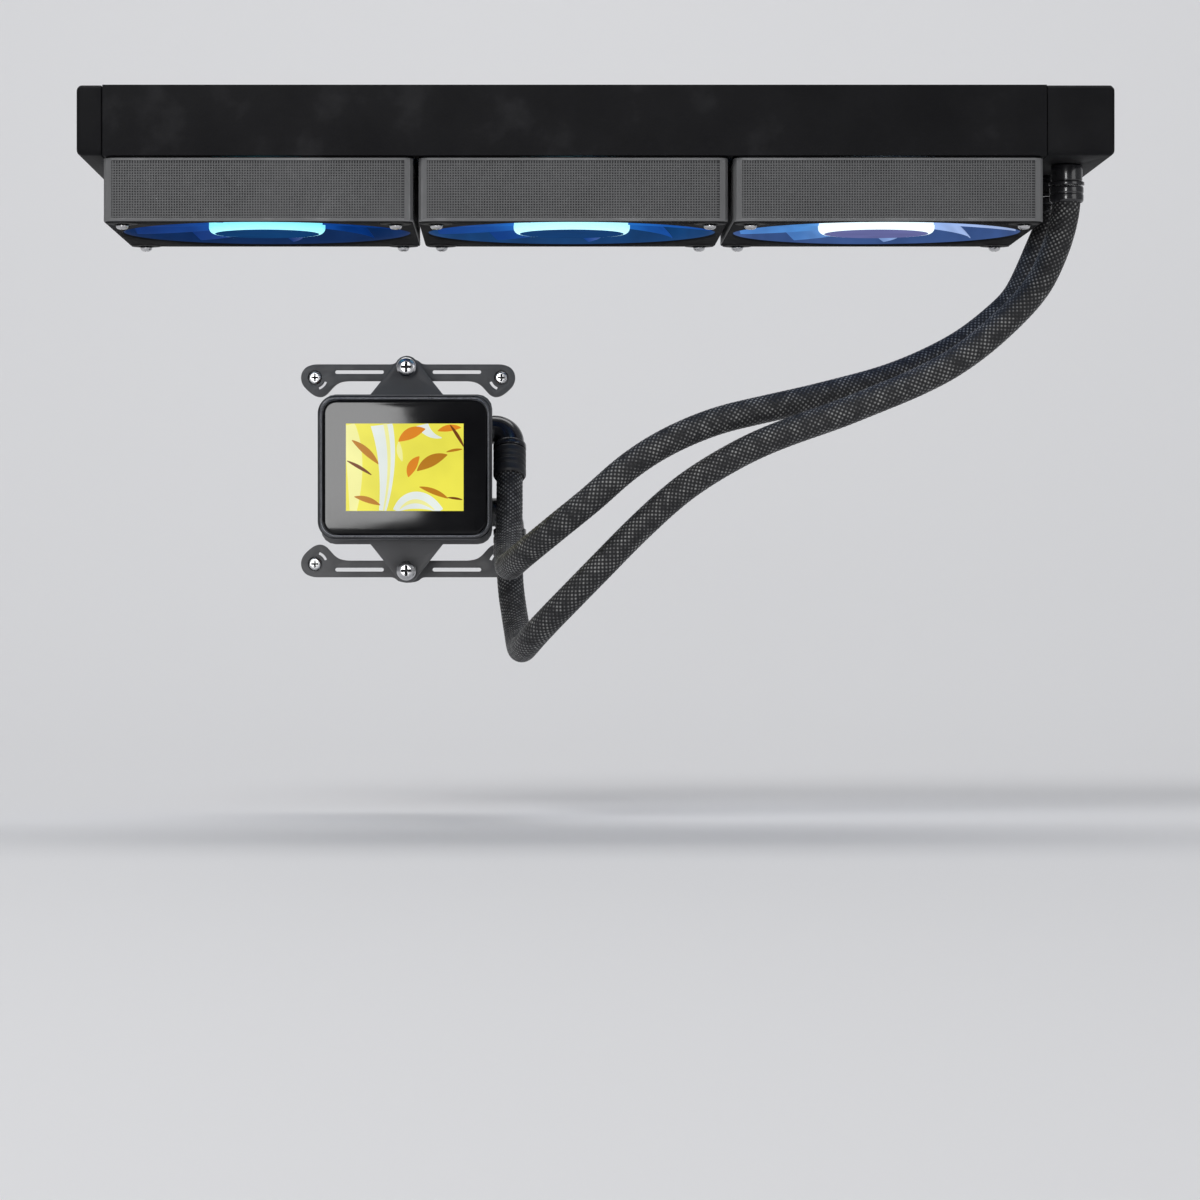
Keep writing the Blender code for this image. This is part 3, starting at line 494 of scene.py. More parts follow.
def hose(label):
    route, near = ROUTES[label], f"elbow_{label}"
    curve, _ = even(smooth_route(route), 1.0)
    curve = eased(curve, 9)
    line, length = even(curve, STRAND_PITCH / 4)
    tangent = np.gradient(line, axis=0)
    tangent /= np.linalg.norm(tangent, axis=1)[:, None]
    side = np.zeros_like(line)
    side[0] = (1, 0, 0)
    for i in range(1, len(line)):
        step = side[i - 1] - tangent[i] * (side[i - 1] @ tangent[i])
        side[i] = step / np.linalg.norm(step)
    other = np.cross(tangent, side)
    around = np.arange(RING) / RING * STRANDS
    down = np.arange(len(line)) / 4
    a, b = around[None, :] + down[:, None], around[None, :] - down[:, None]
    odd = np.abs(np.fmod(np.floor(a) + np.floor(b), 2))
    across, along = np.where(odd > 0.5, a % 1, b % 1), np.where(odd > 0.5, b % 1, a % 1)
    height = np.sin(pi * across) ** 0.55 * (0.5 + 0.5 * np.sin(pi * along))
    radius = HOSE_R - 0.26 + 0.26 * height
    radius[0], radius[-1] = HOSE_R - 0.2, HOSE_R - 0.2
    angle = np.arange(RING) / RING * 2 * pi
    rings = line[:, None] + radius[..., None] * (np.cos(angle)[None, :, None] * side[:, None]
                                                 + np.sin(angle)[None, :, None] * other[:, None])
    verts, faces = skin(rings)
    name = f"hose_{label}_braid"
    piece = make(name, verts, faces, BRAID, None, (), sharp=180.0)
    mesh = piece.data
    layer = mesh.uv_layers.new(name="weave")
    corner = np.zeros(len(mesh.loops), int)
    mesh.loops.foreach_get("vertex_index", corner)
    u = (corner % RING) / RING * STRANDS
    v = corner // RING / 4
    start = np.zeros(len(mesh.polygons), int)
    mesh.polygons.foreach_get("loop_start", start)
    for k in range(len(mesh.polygons) - 2):
        span = slice(start[k], start[k] + 4)
        if u[span].max() - u[span].min() > STRANDS / 2:
            u[span] = np.where(u[span] < STRANDS / 2, u[span] + STRANDS, u[span])
    layer.data.foreach_set("uv", np.stack([u, v], 1).ravel())
    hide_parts(f"hose_{label}")
    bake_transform(piece, ROOT, near, start=(LIMB_X * MM, 0.046, -0.18), end=(LIMB_X * MM, 0.076, -0.18))
    return length


hose_lengths = {label: hose(label) for label in ROUTES}
print("hose lengths in mm:", {k: round(v, 1) for k, v in hose_lengths.items()})

# ---------------- materials
COAT = grained("powder_coat", (0.005, 0.005, 0.006), 0.6, grain=2300.0, depth=0.06, vary=0.05,
               sheen=0.02, wear=0.15, Specular_IOR_Level=0.10)
BRACKET_COAT = grained("bracket_coat", (0.100, 0.100, 0.103), 0.45, grain=2300.0, depth=0.06, vary=0.15)
FIN_COAT = grained("fin_coat", (0.030, 0.031, 0.034), 0.38, 0.75, grain=900.0, depth=0.02)
TUBE_COAT = grained("tube_coat", (0.045, 0.046, 0.05), 0.4, 0.8, grain=700.0, depth=0.02)
MOULDED = grained("moulded_black", (0.014, 0.014, 0.016), 0.42, grain=3000.0, depth=0.03)
GLOSSY = grained("gloss_black", (0.012, 0.012, 0.014), 0.2, grain=1200.0, depth=0.004,
                 Coat_Weight=0.4, Coat_Roughness=0.12)
FAN_PLASTIC = grained("fan_frame_plastic", (0.130, 0.131, 0.133), 0.5, grain=2600.0, depth=0.04,
                      vary=0.08)
# painted shade: the fan frame's flat faces and the lip round its bore are made near black where the grey
# frame plastic lies unlit; the outer sides keep the grey
FRAME_UNDER_SHADE = grained("frame_underside_painted_shade", (0.010, 0.010, 0.011), 0.85, grain=2600.0, depth=0.04,
                      vary=0.1, Specular_IOR_Level=0.04)
MESH_BASE = grained("mesh_base", (0.016, 0.016, 0.018), 0.7, grain=2600.0, depth=0.04, vary=0.1)
MESH_BARS = grained("mesh_bars", (0.098, 0.0985, 0.10), 0.5, grain=2600.0, depth=0.03, vary=0.05,
                    wear=0.0)
PAD_RUBBER = grained("pad_rubber", (0.012, 0.012, 0.012), 0.78, grain=1900.0, depth=0.08)
SEAL = grained("seal_rubber", (0.016, 0.016, 0.016), 0.7, grain=1500.0, depth=0.05)
BEZEL = grained("bezel_metal", (0.045, 0.046, 0.05), 0.32, 0.85, grain=1500.0, depth=0.01)
BEZEL_EDGE = machined("bezel_edge", (0.50, 0.51, 0.54), 0.22, grain=500.0)
# painted shade: darker metal for the faces lining the screws' cross recesses, where shadow falls
RECESS_SHADE = grained("screw_recess_painted_shade", (0.03, 0.03, 0.032), 0.5, 0.6, grain=900.0, depth=0.02)
STEEL = machined("screw_steel", (0.66, 0.66, 0.67), 0.2, grain=700.0)
SPRING_STEEL = machined("spring_steel", (0.55, 0.55, 0.56), 0.24, grain=900.0)
CIRCUIT = grained("circuit_mask", (0.012, 0.075, 0.035), 0.35, grain=420.0, depth=0.06, vary=0.4)


def copper_look():
    """Lapped copper with concentric tool marks around the middle of the cold plate."""
    look = Look("lapped_copper", (0.80, 0.38, 0.22), 0.24, 1.0)
    place = look.place(shift=(PUMP_X * MM, 0.0, PUMP_Z * MM))
    rings = look.node("TexWave", wave_type="RINGS", rings_direction="Y")
    for key, value in (("Scale", 420.0), ("Distortion", 0.6), ("Detail", 2.0)):
        rings.inputs[key].default_value = value
    look.put(rings.inputs["Vector"], place)
    tarnish = look.noise(60.0, 4.0)
    look.feed("Base Color", look.ramp(tarnish, (0.3, (0.62, 0.26, 0.14)), (0.62, (0.86, 0.44, 0.27))))
    look.feed("Roughness", look.spread(tarnish, 0.3, 0.2))
    return look.bump(rings.outputs["Fac"], 0.02, 0.3)


def winding_look():
    look = Look("enamelled_windings", (0.42, 0.15, 0.04), 0.3, 0.8, Coat_Weight=0.5)
    wave = look.node("TexWave", wave_type="BANDS", bands_direction="DIAGONAL")
    wave.inputs["Scale"].default_value = 700.0
    look.put(wave.inputs["Vector"], look.place())
    look.feed("Base Color", look.ramp(wave.outputs["Fac"], (0.0, (0.14, 0.04, 0.01)),
                                      (0.8, (0.5, 0.2, 0.06))))
    return look.bump(wave.outputs["Fac"], 0.15, 0.7)


def lens_look():
    """Polished black cover with faint smears."""
    look = Look("cover_lens", (0.002, 0.002, 0.003), 0.05, Coat_Weight=0.1, Coat_Roughness=0.04,
                Specular_IOR_Level=0.21)
    smear = look.noise(35.0, 5.0, 0.6, (1, 1, 2.5))
    look.feed("Base Color", look.ramp(smear, (0.35, (0.001, 0.001, 0.002)), (0.75, (0.003, 0.003, 0.004))))
    return look.feed("Roughness", look.spread(smear, 0.035, 0.08))


def lit(name, stops, centre, reach, colour, roughness, strength, painted_haze_stops=None, speckle=0.0, **more):
    """Glowing plastic: emission fades from the hub outwards, and may be blended along X with a second set of
    stops. On the hub's light ring it is a real lamp; on blades, cap and bore wall it is painted LED light,
    and the blend along X is painted haze.
    """
    look = Look(name, colour, roughness, **more)
    place = look.place(shift=(centre * MM, 0.0, 0.0))
    split = look.node("SeparateXYZ")
    look.put(split.inputs[0], place)
    x, y = split.outputs[0], split.outputs[1]
    radius = look.math("SQRT", look.math("ADD", look.math("MULTIPLY", x, x), look.math("MULTIPLY", y, y)))
    near = look.spread(radius, 0.0, 1.0, (reach[0] * MM, reach[1] * MM))
    glow = look.ramp(near, *stops)
    # painted haze: a second set of stops blended in towards +X
    if painted_haze_stops:
        other = look.ramp(near, *painted_haze_stops)
        blend = look.node("Mix", data_type="RGBA")
        share = look.spread(x, 0.0, 1.0, (-reach[1] * 0.5 * MM, reach[1] * MM))
        look.put(blend.inputs["Factor"], share)
        look.put(blend.inputs[6], glow)
        look.put(blend.inputs[7], other)
        glow = blend.outputs[2]
    if speckle:
        cloud = look.node("VectorMath", operation="SCALE")
        look.put(cloud.inputs[0], glow)
        look.put(cloud.inputs["Scale"], look.spread(look.noise(70.0, 2.0), 1.0 - speckle, 1.0))
        glow = cloud.outputs[0]
    look.feed("Emission Color", glow)
    look.shader.inputs["Emission Strength"].default_value = strength
    look.bump(look.noise(1500.0, 2.0), 0.01)
    return look


HUB_LIGHT = {"left": (0.16, 0.78, 0.88), "middle": (0.38, 0.88, 0.95), "right": (0.80, 0.96, 0.97)}
# painted light: each fan's blades glow from the hub outwards in place of LED light through translucent
# blades, paler on the right fan where bright light washes it
BLADE_PAINTED_GLOW = {
    "left": ((0.0, (0.006, 0.06, 0.28)), (0.4, (0.002, 0.030, 0.16)), (1.0, (0.002, 0.021, 0.12))),
    "middle": ((0.0, (0.012, 0.12, 0.42)), (0.4, (0.006, 0.055, 0.24)), (1.0, (0.004, 0.03, 0.15))),
    "right": ((0.0, (0.09, 0.30, 0.66)), (0.4, (0.07, 0.23, 0.55)), (1.0, (0.07, 0.20, 0.50))),
}
# painted haze: paler, brighter stops blended in towards +X, as bright light falling on that side; the left
# fan has none
BLADE_PAINTED_HAZE = {
    "left": None,
    "middle": ((0.0, (0.02, 0.16, 0.52)), (0.4, (0.012, 0.09, 0.34)), (1.0, (0.008, 0.05, 0.24))),
    "right": ((0.0, (0.42, 0.52, 0.80)), (0.4, (0.40, 0.50, 0.75)), (1.0, (0.38, 0.48, 0.72))),
}
# painted light: dark blue glow of each hub cap and hub underside from the fan LEDs' light, paler on the
# right fan
CAP_PAINTED_GLOW = {"left": (0.0018, 0.045, 0.16), "middle": (0.005, 0.048, 0.17), "right": (0.14, 0.15, 0.36)}
# painted light: blue glow of each fan's inner bore wall in place of the LED light falling on it, paler on
# the right fan
BORE_PAINTED_GLOW = {"left": (0.002, 0.022, 0.10), "middle": (0.006, 0.05, 0.17), "right": (0.04, 0.09, 0.26)}


# ---------------- repeated small parts
def cross_cutter(arm, width, low, high):
    """A cross that narrows to under half its size at the low end."""
    star = [(1, 1), (1, 9), (-1, 9), (-1, 1), (-9, 1), (-9, -1), (-1, -1), (-1, -9), (1, -9), (1, -1),
            (9, -1), (9, 1)]
    size = {1: width / 2, 9: arm}
    return skin([[(share * size[abs(x)] * np.sign(x), share * size[abs(y)] * np.sign(y), z)
                  for x, y in star] for share, z in ((0.45, low), (1.0, high))])


def cut(verts, faces, tool_verts, tool_faces):
    """Vertices and faces of a solid after taking a tool out of it."""
    tool = bpy.data.objects.new("tool", bare_mesh(tool_verts, tool_faces))
    bpy.context.scene.collection.objects.link(tool)
    result = applied(bare_mesh(verts, faces),
                     ("BOOLEAN", dict(operation="DIFFERENCE", solver="EXACT", object=tool)))
    bpy.data.objects.remove(tool, do_unlink=True)
    return solid(result)


def phillips(profile, edge, arm, width, deep, outer, count=40):
    """A turned screw with a cross recess in its head, and which of its faces line the recess; those take a
    darker metal, painted shade in the recess.
    """
    verts, faces = skin(turn_rings(rounded(profile, edge), count))
    verts, faces = cut(verts, faces, *cross_cutter(arm, width, deep, outer))
    way = np.sign(outer - deep)
    inside = []
    for face in faces:
        spots = verts[list(face)]
        height = (spots[:, 2] - deep) * way
        reach = np.hypot(spots[:, 0], spots[:, 1]).max()
        normal = np.cross(spots[1] - spots[0], spots[2] - spots[0])
        steep = abs(normal[2]) < 0.45 * np.linalg.norm(normal)
        inside.append(int(reach < 1.12 * arm and height.min() > -0.01 and (steep or height.max() < 0.05)))
    return verts, faces, inside


def copies(verts, faces, spots):
    """The same solid at several places, as one mesh."""
    verts = np.asarray(verts, float)
    all_verts = np.concatenate([verts + np.array(spot, float) for spot in spots])
    all_faces = [tuple(i + k * len(verts) for i in f) for k in range(len(spots)) for f in faces]
    return all_verts, all_faces


def merge(*parts):
    verts, faces, shift = [], [], 0
    for v, f in parts:
        verts.append(np.asarray(v, float))
        faces += [tuple(i + shift for i in face) for face in f]
        shift += len(v)
    return np.concatenate(verts), faces


def block(low, high):
    (x0, y0, z0), (x1, y1, z1) = low, high
    ring = [(x0, y0), (x1, y0), (x1, y1), (x0, y1)]
    return skin([[(x, y, z) for x, y in ring] for z in (z0, z1)])


# ---------------- radiator
def radiator():
    for node, width in (("radiator_return_tank", 0.9), ("radiator_fitted_tank", 0.9),
                        ("radiator_side_rail_front", 0.35), ("radiator_side_rail_rear", 0.35)):
        bevelled(node, COAT, width, segments=3)
    recoat("radiator_tube_bundle", TUBE_COAT)
    bevelled("radiator_fill_plug", MOULDED, 0.25)

    # corrugated fins between the flat tubes
    tubes, pitch, tube_w = 12, 9.2, 2.0
    x0, x1, z0, z1, wave = -178.4, 179.4, -21.3, -5.7, 2.3
    centres = [(i - tubes / 2) * pitch for i in range(tubes + 1)]
    steps = int((x1 - x0) / wave * 2)
    xs = x0 + np.arange(steps + 1) * (x1 - x0) / steps
    verts, faces = [], []
    for k, cy in enumerate(centres):
        half = (pitch - tube_w) / 2 - 0.12
        if k in (0, tubes):
            half -= 1.0
            cy += 0.9 if k == 0 else -0.9
        ys = cy + half * np.where(np.arange(steps + 1) % 2, 1, -1)
        base = len(verts)
        for x, y in zip(xs, ys):
            verts += [(x, y, z0), (x, y, z1)]
        faces += [(base + 2 * i, base + 2 * i + 2, base + 2 * i + 3, base + 2 * i + 1)
                  for i in range(steps)]
    mesh = bare_mesh(np.array(verts) * MM, faces)
    mesh = applied(mesh, ("SOLIDIFY", dict(thickness=0.12 * MM, offset=0.0)))
    mesh.materials.append(FIN_COAT.mat)
    dress("radiator_fins", mesh, ROOT, ("radiator_fin_pack",), 20.0)

    for side, y in FITTING_Y.items():
        spot = (FITTING_X, y, -27.0)
        collar = [(2.8, -0.3), (6.1, -0.3), (6.1, -6.2), (5.9, -6.6), (6.9, -6.9), (6.9, -8.2), (2.8, -8.2)]
        turned(f"fitting_{side}_collar", collar, GLOSSY, ROOT, (f"radiator_fitting_{side}",),
               spot, hollow=True, edge=0.25)
        sleeve = [(5.8, -8.6), (6.35, -8.6), (6.6, -9.2), (6.6, -11.0), (6.4, -11.2), (6.4, -11.7),
                  (6.6, -11.9), (6.6, -13.9), (6.2, -14.8), (5.8, -14.8)]
        turned(f"fitting_{side}_sleeve", sleeve, GLOSSY, ROOT, (f"radiator_ferrule_{side}",),
               spot, hollow=True, edge=0.2)


# ---------------- fans
FAN_SCREW = phillips([(0.8, -54.8), (1.9, -54.5), (2.4, -53.7), (2.4, -53.0), (1.4, -53.0), (1.4, -50.2)],
                     0.5, 1.7, 0.8, -53.7, -55.4, 36)


def square_ring(half, radius, angles, z):
    """Points of a rounded square seen from its centre at the given angles."""
    points = []
    for a in angles:
        c, s = abs(cos(a)), abs(sin(a))
        reach = half / max(c, s)
        core = half - radius
        if reach * c > core and reach * s > core:
            mid = core * (c + s)
            reach = mid + (mid * mid - 2 * core * core + radius * radius) ** 0.5
        points.append((reach * cos(a), reach * sin(a), z))
    return points


def fan_frame(label, cx):
    spot = (cx, 0.0, 0.0)
    corner = radians(45)
    angles = []
    for q in range(4):
        near = np.concatenate([np.linspace(-corner, -radians(40), 4)[:-1],
                               np.linspace(-radians(40), radians(40), 33),
                               np.linspace(radians(40), corner, 4)[1:-1]])
        angles += [q * pi / 2 + a for a in near]
    half, top, low = FAN_W / 2, FAN_TOP, FAN_BOTTOM

    def bore(radius, z):
        return [(radius * cos(a), radius * sin(a), z) for a in angles]

    rings = [square_ring(half - 0.6, 3.6, angles, top), square_ring(half, 4.0, angles, top - 0.6),
             square_ring(half, 4.0, angles, low + 0.6), square_ring(half - 0.2, 3.9, angles, low + 0.2),
             square_ring(half - 0.6, 3.6, angles, low),
             bore(BORE_R + 1.5, low), bore(BORE_R + 0.7, low + 0.25), bore(BORE_R + 0.2, low + 0.9),
             bore(BORE_R, low + 2.0), bore(BORE_R, top - 1.0), bore(BORE_R + 0.6, top)]
    shell = skin(rings, join=True)
    inner_w, border, deep = FAN_W - 6.6, 1.5, 0.55
    tools = []
    for axis in (0, 1):
        for sign in (-1, 1):
            lo, hi = [-inner_w / 2] * 2 + [low + border], [inner_w / 2] * 2 + [top - border]
            lo[axis], hi[axis] = sorted((sign * (half - deep), sign * (half + 2.0)))
            tools.append(block(lo, hi))
    for sx in (-1, 1):
        for sy in (-1, 1):
            ring = turn_rings([(2.15, low - 1), (2.15, top + 1)], 20)
            tools.append(skin(ring + np.array((sx * HOLE_AT, sy * HOLE_AT, 0.0))))
    verts, faces = cut(*shell, *merge(*tools))
    # painted light: the grey bore wall is given a blue emission that stands in for the fan LEDs' light on it
    glow = BORE_PAINTED_GLOW[label]
    bore_look = lit(f"bore_painted_glow_{label}", ((0.0, glow), (1.0, glow)), cx, (40.0, 60.0),
                    (0.01, 0.012, 0.02), 0.6, 1.0, None, 0.3, Specular_IOR_Level=0.1)
    # flat faces and the lip round the bore take the painted-shade black, the inner bore wall takes the
    # painted blue glow, the outer sides the grey plastic
    picks = []
    for face in faces:
        spots = verts[list(face)]
        normal = np.cross(spots[1] - spots[0], spots[2] - spots[0])
        flat = abs(normal[2]) > 0.6 * np.linalg.norm(normal)
        reach = np.hypot(spots[:, 0], spots[:, 1])
        inside = reach.max() < BORE_R + 1.0 and not flat
        picks.append(1 if flat or (reach.max() < BORE_R + 2.0 and not inside) else 2 if inside else 0)
    make(f"fan_{label}_shell", verts, faces, [FAN_PLASTIC, FRAME_UNDER_SHADE, bore_look], ROOT,
         (f"fan_{label}_frame",), 30.0, spot, picks=picks)

    # fine raised grid in the recess of each side
    plates, bars = [], []
    pitch, thick = 1.0, 0.42
    z0, z1 = low + border + 0.05, top - border - 0.05
    span = inner_w / 2 - 0.05
    for axis in (0, 1):
        for sign in (-1, 1):
            def put(u0, u1, lo_z, hi_z, inner, outer, store):
                lo, hi = [u0, u0, lo_z], [u1, u1, hi_z]
                lo[axis], hi[axis] = sorted((sign * (half - inner), sign * (half - outer)))
                store.append(block(lo, hi))
            put(-span, span, z0, z1, deep - 0.02, deep - 0.14, plates)
            for i in range(int(2 * span / pitch)):
                u = -span + pitch * (i + 0.5)
                put(u - thick / 2, u + thick / 2, z0, z1, deep - 0.10, deep - 0.40, bars)
            for i in range(int((z1 - z0) / pitch)):
                z = z0 + pitch * (i + 0.5)
                put(-span, span, z - thick / 2, z + thick / 2, deep - 0.10, deep - 0.37, bars)
    verts, faces = merge(*plates)
    make(f"fan_{label}_side_base", verts, faces, MESH_BASE, ROOT, (), 30.0, spot)
    verts, faces = merge(*bars)
    make(f"fan_{label}_side_grid", verts, faces, MESH_BARS, ROOT, (), 30.0, spot)

    # motor base with four diagonal struts
    under = top - MOTOR_BASE
    base = skin(turn_rings(rounded([(2.0, top), (20.0, top), (20.0, under), (2.0, under)], 0.5,
                                   closed=True), 48), join=True)
    parts = [base]
    for k in range(4):
        a = pi / 4 + k * pi / 2
        along, across = np.array((cos(a), sin(a))), np.array((-sin(a), cos(a)))
        ring = []
        for r, w in ((19.0, 2.6), (57.0, 3.6)):
            ring.append([(*(along * r + across * w * s), z) for s, z in
                         ((-1, top - 0.1), (1, top - 0.1), (0.8, top - 2.9), (-0.8, top - 2.9))])
        parts.append(skin(ring))
    verts, faces = merge(*parts)
    make(f"fan_{label}_struts", verts, faces, FAN_PLASTIC, ROOT, (), 30.0, spot)

    corners = [(sx * HOLE_AT, sy * HOLE_AT, 0.0) for sx in (-1, 1) for sy in (-1, 1)]
    pad = skin(turn_rings(rounded([(3.1, low + 0.1), (3.1, low - 0.45), (6.0, low - 0.45), (6.0, low + 0.1)],
                                  0.2, closed=True), 32), join=True)
    verts, faces = copies(*pad, corners)
    make(f"fan_{label}_pads", verts, faces, PAD_RUBBER, ROOT, (), 40.0, spot)
    screw_verts, screw_faces, recess = FAN_SCREW
    verts, faces = copies(screw_verts, screw_faces, corners)
    make(f"fan_{label}_screws", verts, faces, [STEEL, RECESS_SHADE], ROOT, (), 40.0, spot,
         picks=recess * len(corners))


def fan_rotor(label, cx):
    spot, body = (cx, 0.0, 0.0), f"fan_{label}_spinning"
    floor, rim = FAN_BOTTOM + 0.3, FAN_TOP - MOTOR_BASE - 0.9
    # painted light: the cap and the hub's bottom disc glow dark blue in place of the LED light falling on
    # them
    shade = CAP_PAINTED_GLOW[label]
    cap_look = lit(f"cap_painted_glow_{label}", ((0.0, shade), (1.0, shade)), cx, (0.0, HUB_R),
                   (0.01, 0.012, 0.02), 0.9, 1.0, None, 0.2, Specular_IOR_Level=0.0)
    glow, bend = HUB_LIGHT[label], 2.4
    dim = tuple(c * 0.75 for c in glow)
    hub_look = lit(f"hub_light_{label}", ((0.0, dim), (0.55, glow), (1.0, glow)), cx, (14.0, 22.0),
                   (0.5, 0.6, 0.65), 0.4, 1.05)
    cup = [(1.8, floor + 2.2), (1.8, floor + 5.5), (3.4, floor + 5.5), (3.4, floor + 3.2),
           (20.2, floor + 3.2), (20.9, floor + 4.2), (20.9, rim), (HUB_R - 0.3, rim),
           (HUB_R, rim - 0.3)]
    cup += [(HUB_R - bend * (1 - cos(a)), floor + bend * (1 - sin(a))) for a in np.linspace(0, pi / 2, 9)]
    cup += [(CAP_R + 0.4, floor), (CAP_R + 0.4, floor + 1.2)]
    verts, faces = skin(turn_rings(cup, 96))
    # the hub's bottom disc takes the cap's painted glow
    inner = np.hypot(verts[:, 0], verts[:, 1]) < HUB_R - bend + 0.1
    under = inner & (verts[:, 2] < floor + 1.3)
    picks = [int(under[list(face)].all()) for face in faces]
    make(f"fan_{label}_hub", verts, faces, [hub_look, cap_look], body, (f"fan_{label}_rotor",),
         40.0, spot, picks=picks)
    # painted light: blade emission fading from the hub, with painted haze blended in towards +X
    blade_look = lit(f"blade_painted_glow_{label}", BLADE_PAINTED_GLOW[label], cx, (22.0, 56.0), (0.005, 0.025, 0.11),
                     0.45, 1.25, BLADE_PAINTED_HAZE[label], 0.35, IOR=1.45, Specular_IOR_Level=0.12)
    blades, spans, chords, parts = 9, 16, 14, []
    for b in range(blades):
        rows = []
        for s in range(spans + 1):
            share = s / spans
            radius = HUB_R - 0.4 + (BORE_R - 1.0 - HUB_R + 0.4) * share
            sweep = 2 * pi * b / blades + radians(16.0) * share ** 1.3
            half = radians(15.5 - 1.0 * share) * (1 - 0.05 * share ** 8)
            rise = 6.9 + 1.7 * share
            upper, under = [], []
            for c in range(chords + 1):
                u = -cos(pi * c / chords)
                angle = sweep + half * u
                z = (rim + floor) / 2 - 0.2 + rise * u + 1.6 * (1 - u * u)
                thick = 0.16 + 0.62 * max(0.0, 1 - u * u) ** 0.5
                place = np.array((radius * cos(angle), radius * sin(angle), z))
                upper.append(place + (0, 0, thick))
                under.append(place - (0, 0, thick))
            rows.append(upper + under[::-1])
        parts.append(skin(rows))
    verts, faces = merge(*parts)
    make(f"fan_{label}_blades", verts, faces, blade_look, body, (), 50.0, spot)
    cap = [(CAP_R - 2.2, floor + 0.9), (CAP_R, floor + 0.9), (CAP_R, floor - 0.1),
           (CAP_R - 0.8, floor - 0.28), (CAP_R - 1.5, floor - 0.3), (CAP_R - 1.8, floor - 0.22),
           (6.0, floor - 0.27), (0.4, floor - 0.3)]
    turned(f"fan_{label}_cap", cap, cap_look, body, (f"fan_{label}_hub_cap",), spot,
           edge=0.2, count=96)
    recoat(f"fan_{label}_shaft", STEEL)
    recoat(f"fan_{label}_stator", WINDINGS)
    recoat(f"fan_{label}_light_ring", hub_look)


# ---------------- pump head
def outline(w, h, r, y, corner=10):
    return round_rect(w, h, r, -y, corner)


def ribbon(points, widths):
    """Closed outline of a tapering ribbon along a quadratic curve."""
    p0, p1, p2 = (np.array(p, float) for p in points)
    left, right, steps = [], [], 18
    for t in np.arange(steps + 1) / steps:
        spot = (1 - t) ** 2 * p0 + 2 * t * (1 - t) * p1 + t * t * p2
        way = 2 * (1 - t) * (p1 - p0) + 2 * t * (p2 - p1)
        way = np.array((-way[1], way[0])) / max(np.linalg.norm(way), 1e-6)
        width = widths[0] * (1 - t) ** 2 + 2 * widths[1] * t * (1 - t) + widths[2] * t * t
        left.append(spot + way * width / 2)
        right.append(spot - way * width / 2)
    return left + right[::-1]


def picture():
    """Abstract petals and ribbons on the lit panel, each colour a thin layer of its own."""
    w, h = 47.9, 35.6
    tints = {"yellow": (0.86, 0.80, 0.08), "white": (0.80, 0.86, 0.82), "pale": (0.90, 0.88, 0.34),
             "orange": (0.76, 0.24, 0.010), "amber": (0.50, 0.20, 0.008), "brown": (0.17, 0.045, 0.004)}
    looks = []
    for name, tint in tints.items():
        look = Look("display_" + name, (0.01, 0.01, 0.01), 0.08, Specular_IOR_Level=0.06)
        shade = look.spread(look.noise(55.0, 2.0), 0.0, 1.0)
        look.feed("Emission Color", look.ramp(shade, (0.2, tuple(c * 0.9 for c in tint)), (0.8, tint)))
        look.shader.inputs["Emission Strength"].default_value = 1.0
        looks.append(look)
    order = list(tints)
    shapes = [
        ("yellow", [(-w / 2, -h / 2), (w / 2, -h / 2), (w / 2, h / 2), (-w / 2, h / 2)]),
        ("pale", ribbon([(-23, h / 2), (-19, 4), (-21, -h / 2)], (5, 9, 3))),
        ("white", ribbon([(-9.5, h / 2), (-5.5, 2), (-9.0, -h / 2)], (9.0, 7.0, 3.0))),
        ("pale", ribbon([(-8.0, h / 2), (-4.5, 2), (-8.6, -h / 2)], (1.6, 1.4, 0.6))),
        ("white", ribbon([(-4.0, -h / 2), (4.0, -9.0), (15.0, -h / 2)], (2.0, 12.0, 2.0))),
        ("pale", ribbon([(-2.0, -17.0), (4.2, -10.5), (12.0, -17.4)], (0.4, 3.0, 0.4))),
        ("white", ribbon([(7.0, h / 2), (9.5, 12.5), (15.0, 12.0)], (5.0, 3.0, 0.4))),
    ]
    # petals: colour, root, direction in degrees, length and width
    for tint, x, y, aim, reach, wide in (
            ("orange", -2.5, 10.5, 25, 12.0, 5.5), ("orange", 1.5, -4.0, 62, 9.5, 4.5),
            ("amber", 5.0, -1.5, 28, 14.0, 5.5), ("amber", -21.5, 11.0, -42, 14.5, 3.4),
            ("brown", -23.5, 2.6, -30, 11.5, 1.6), ("amber", -20.5, -12.0, -18, 11.0, 2.8),
            ("amber", 6.0, -8.0, -22, 12.5, 2.6), ("orange", 13.5, 14.8, 8, 9.5, 3.2),
            ("brown", 18.5, 17.2, -58, 10.5, 1.5), ("amber", 17.0, 6.2, 10, 6.5, 1.2),
            ("brown", 17.5, -12.4, -8, 6.0, 1.0), ("pale", -1.0, 2.5, 100, 8.0, 2.6)):
        a = radians(aim)
        along, bow = np.array((cos(a), sin(a))), np.array((-sin(a), cos(a)))
        root = np.array((x, y))
        shapes.append((tint, ribbon([root, root + along * reach / 2 + bow * wide / 3,
                                     root + along * reach], (0.3, wide * 1.6, 0.3))))
    verts, faces, picks = [], [], []
    base_y, layer = 47.86, 0.006
    for k, (tint, shape) in enumerate(shapes):
        ring = [(min(max(x, -w / 2), w / 2), min(max(y, -h / 2), h / 2)) for x, y in shape]
        front, back = -(base_y - layer * k), -(base_y + 0.05)
        part, sides = skin([[(x, y, back) for x, y in ring], [(x, y, front) for x, y in ring]])
        shift = len(verts)
        verts += part.tolist()
        faces += [tuple(i + shift for i in f) for f in sides]
        picks += [order.index(tint)] * len(sides)
    make("display_picture", verts, faces, looks, ROOT, (), 30.0,
         (PUMP_X, 0.0, PUMP_Z), ALONG_Y, picks)


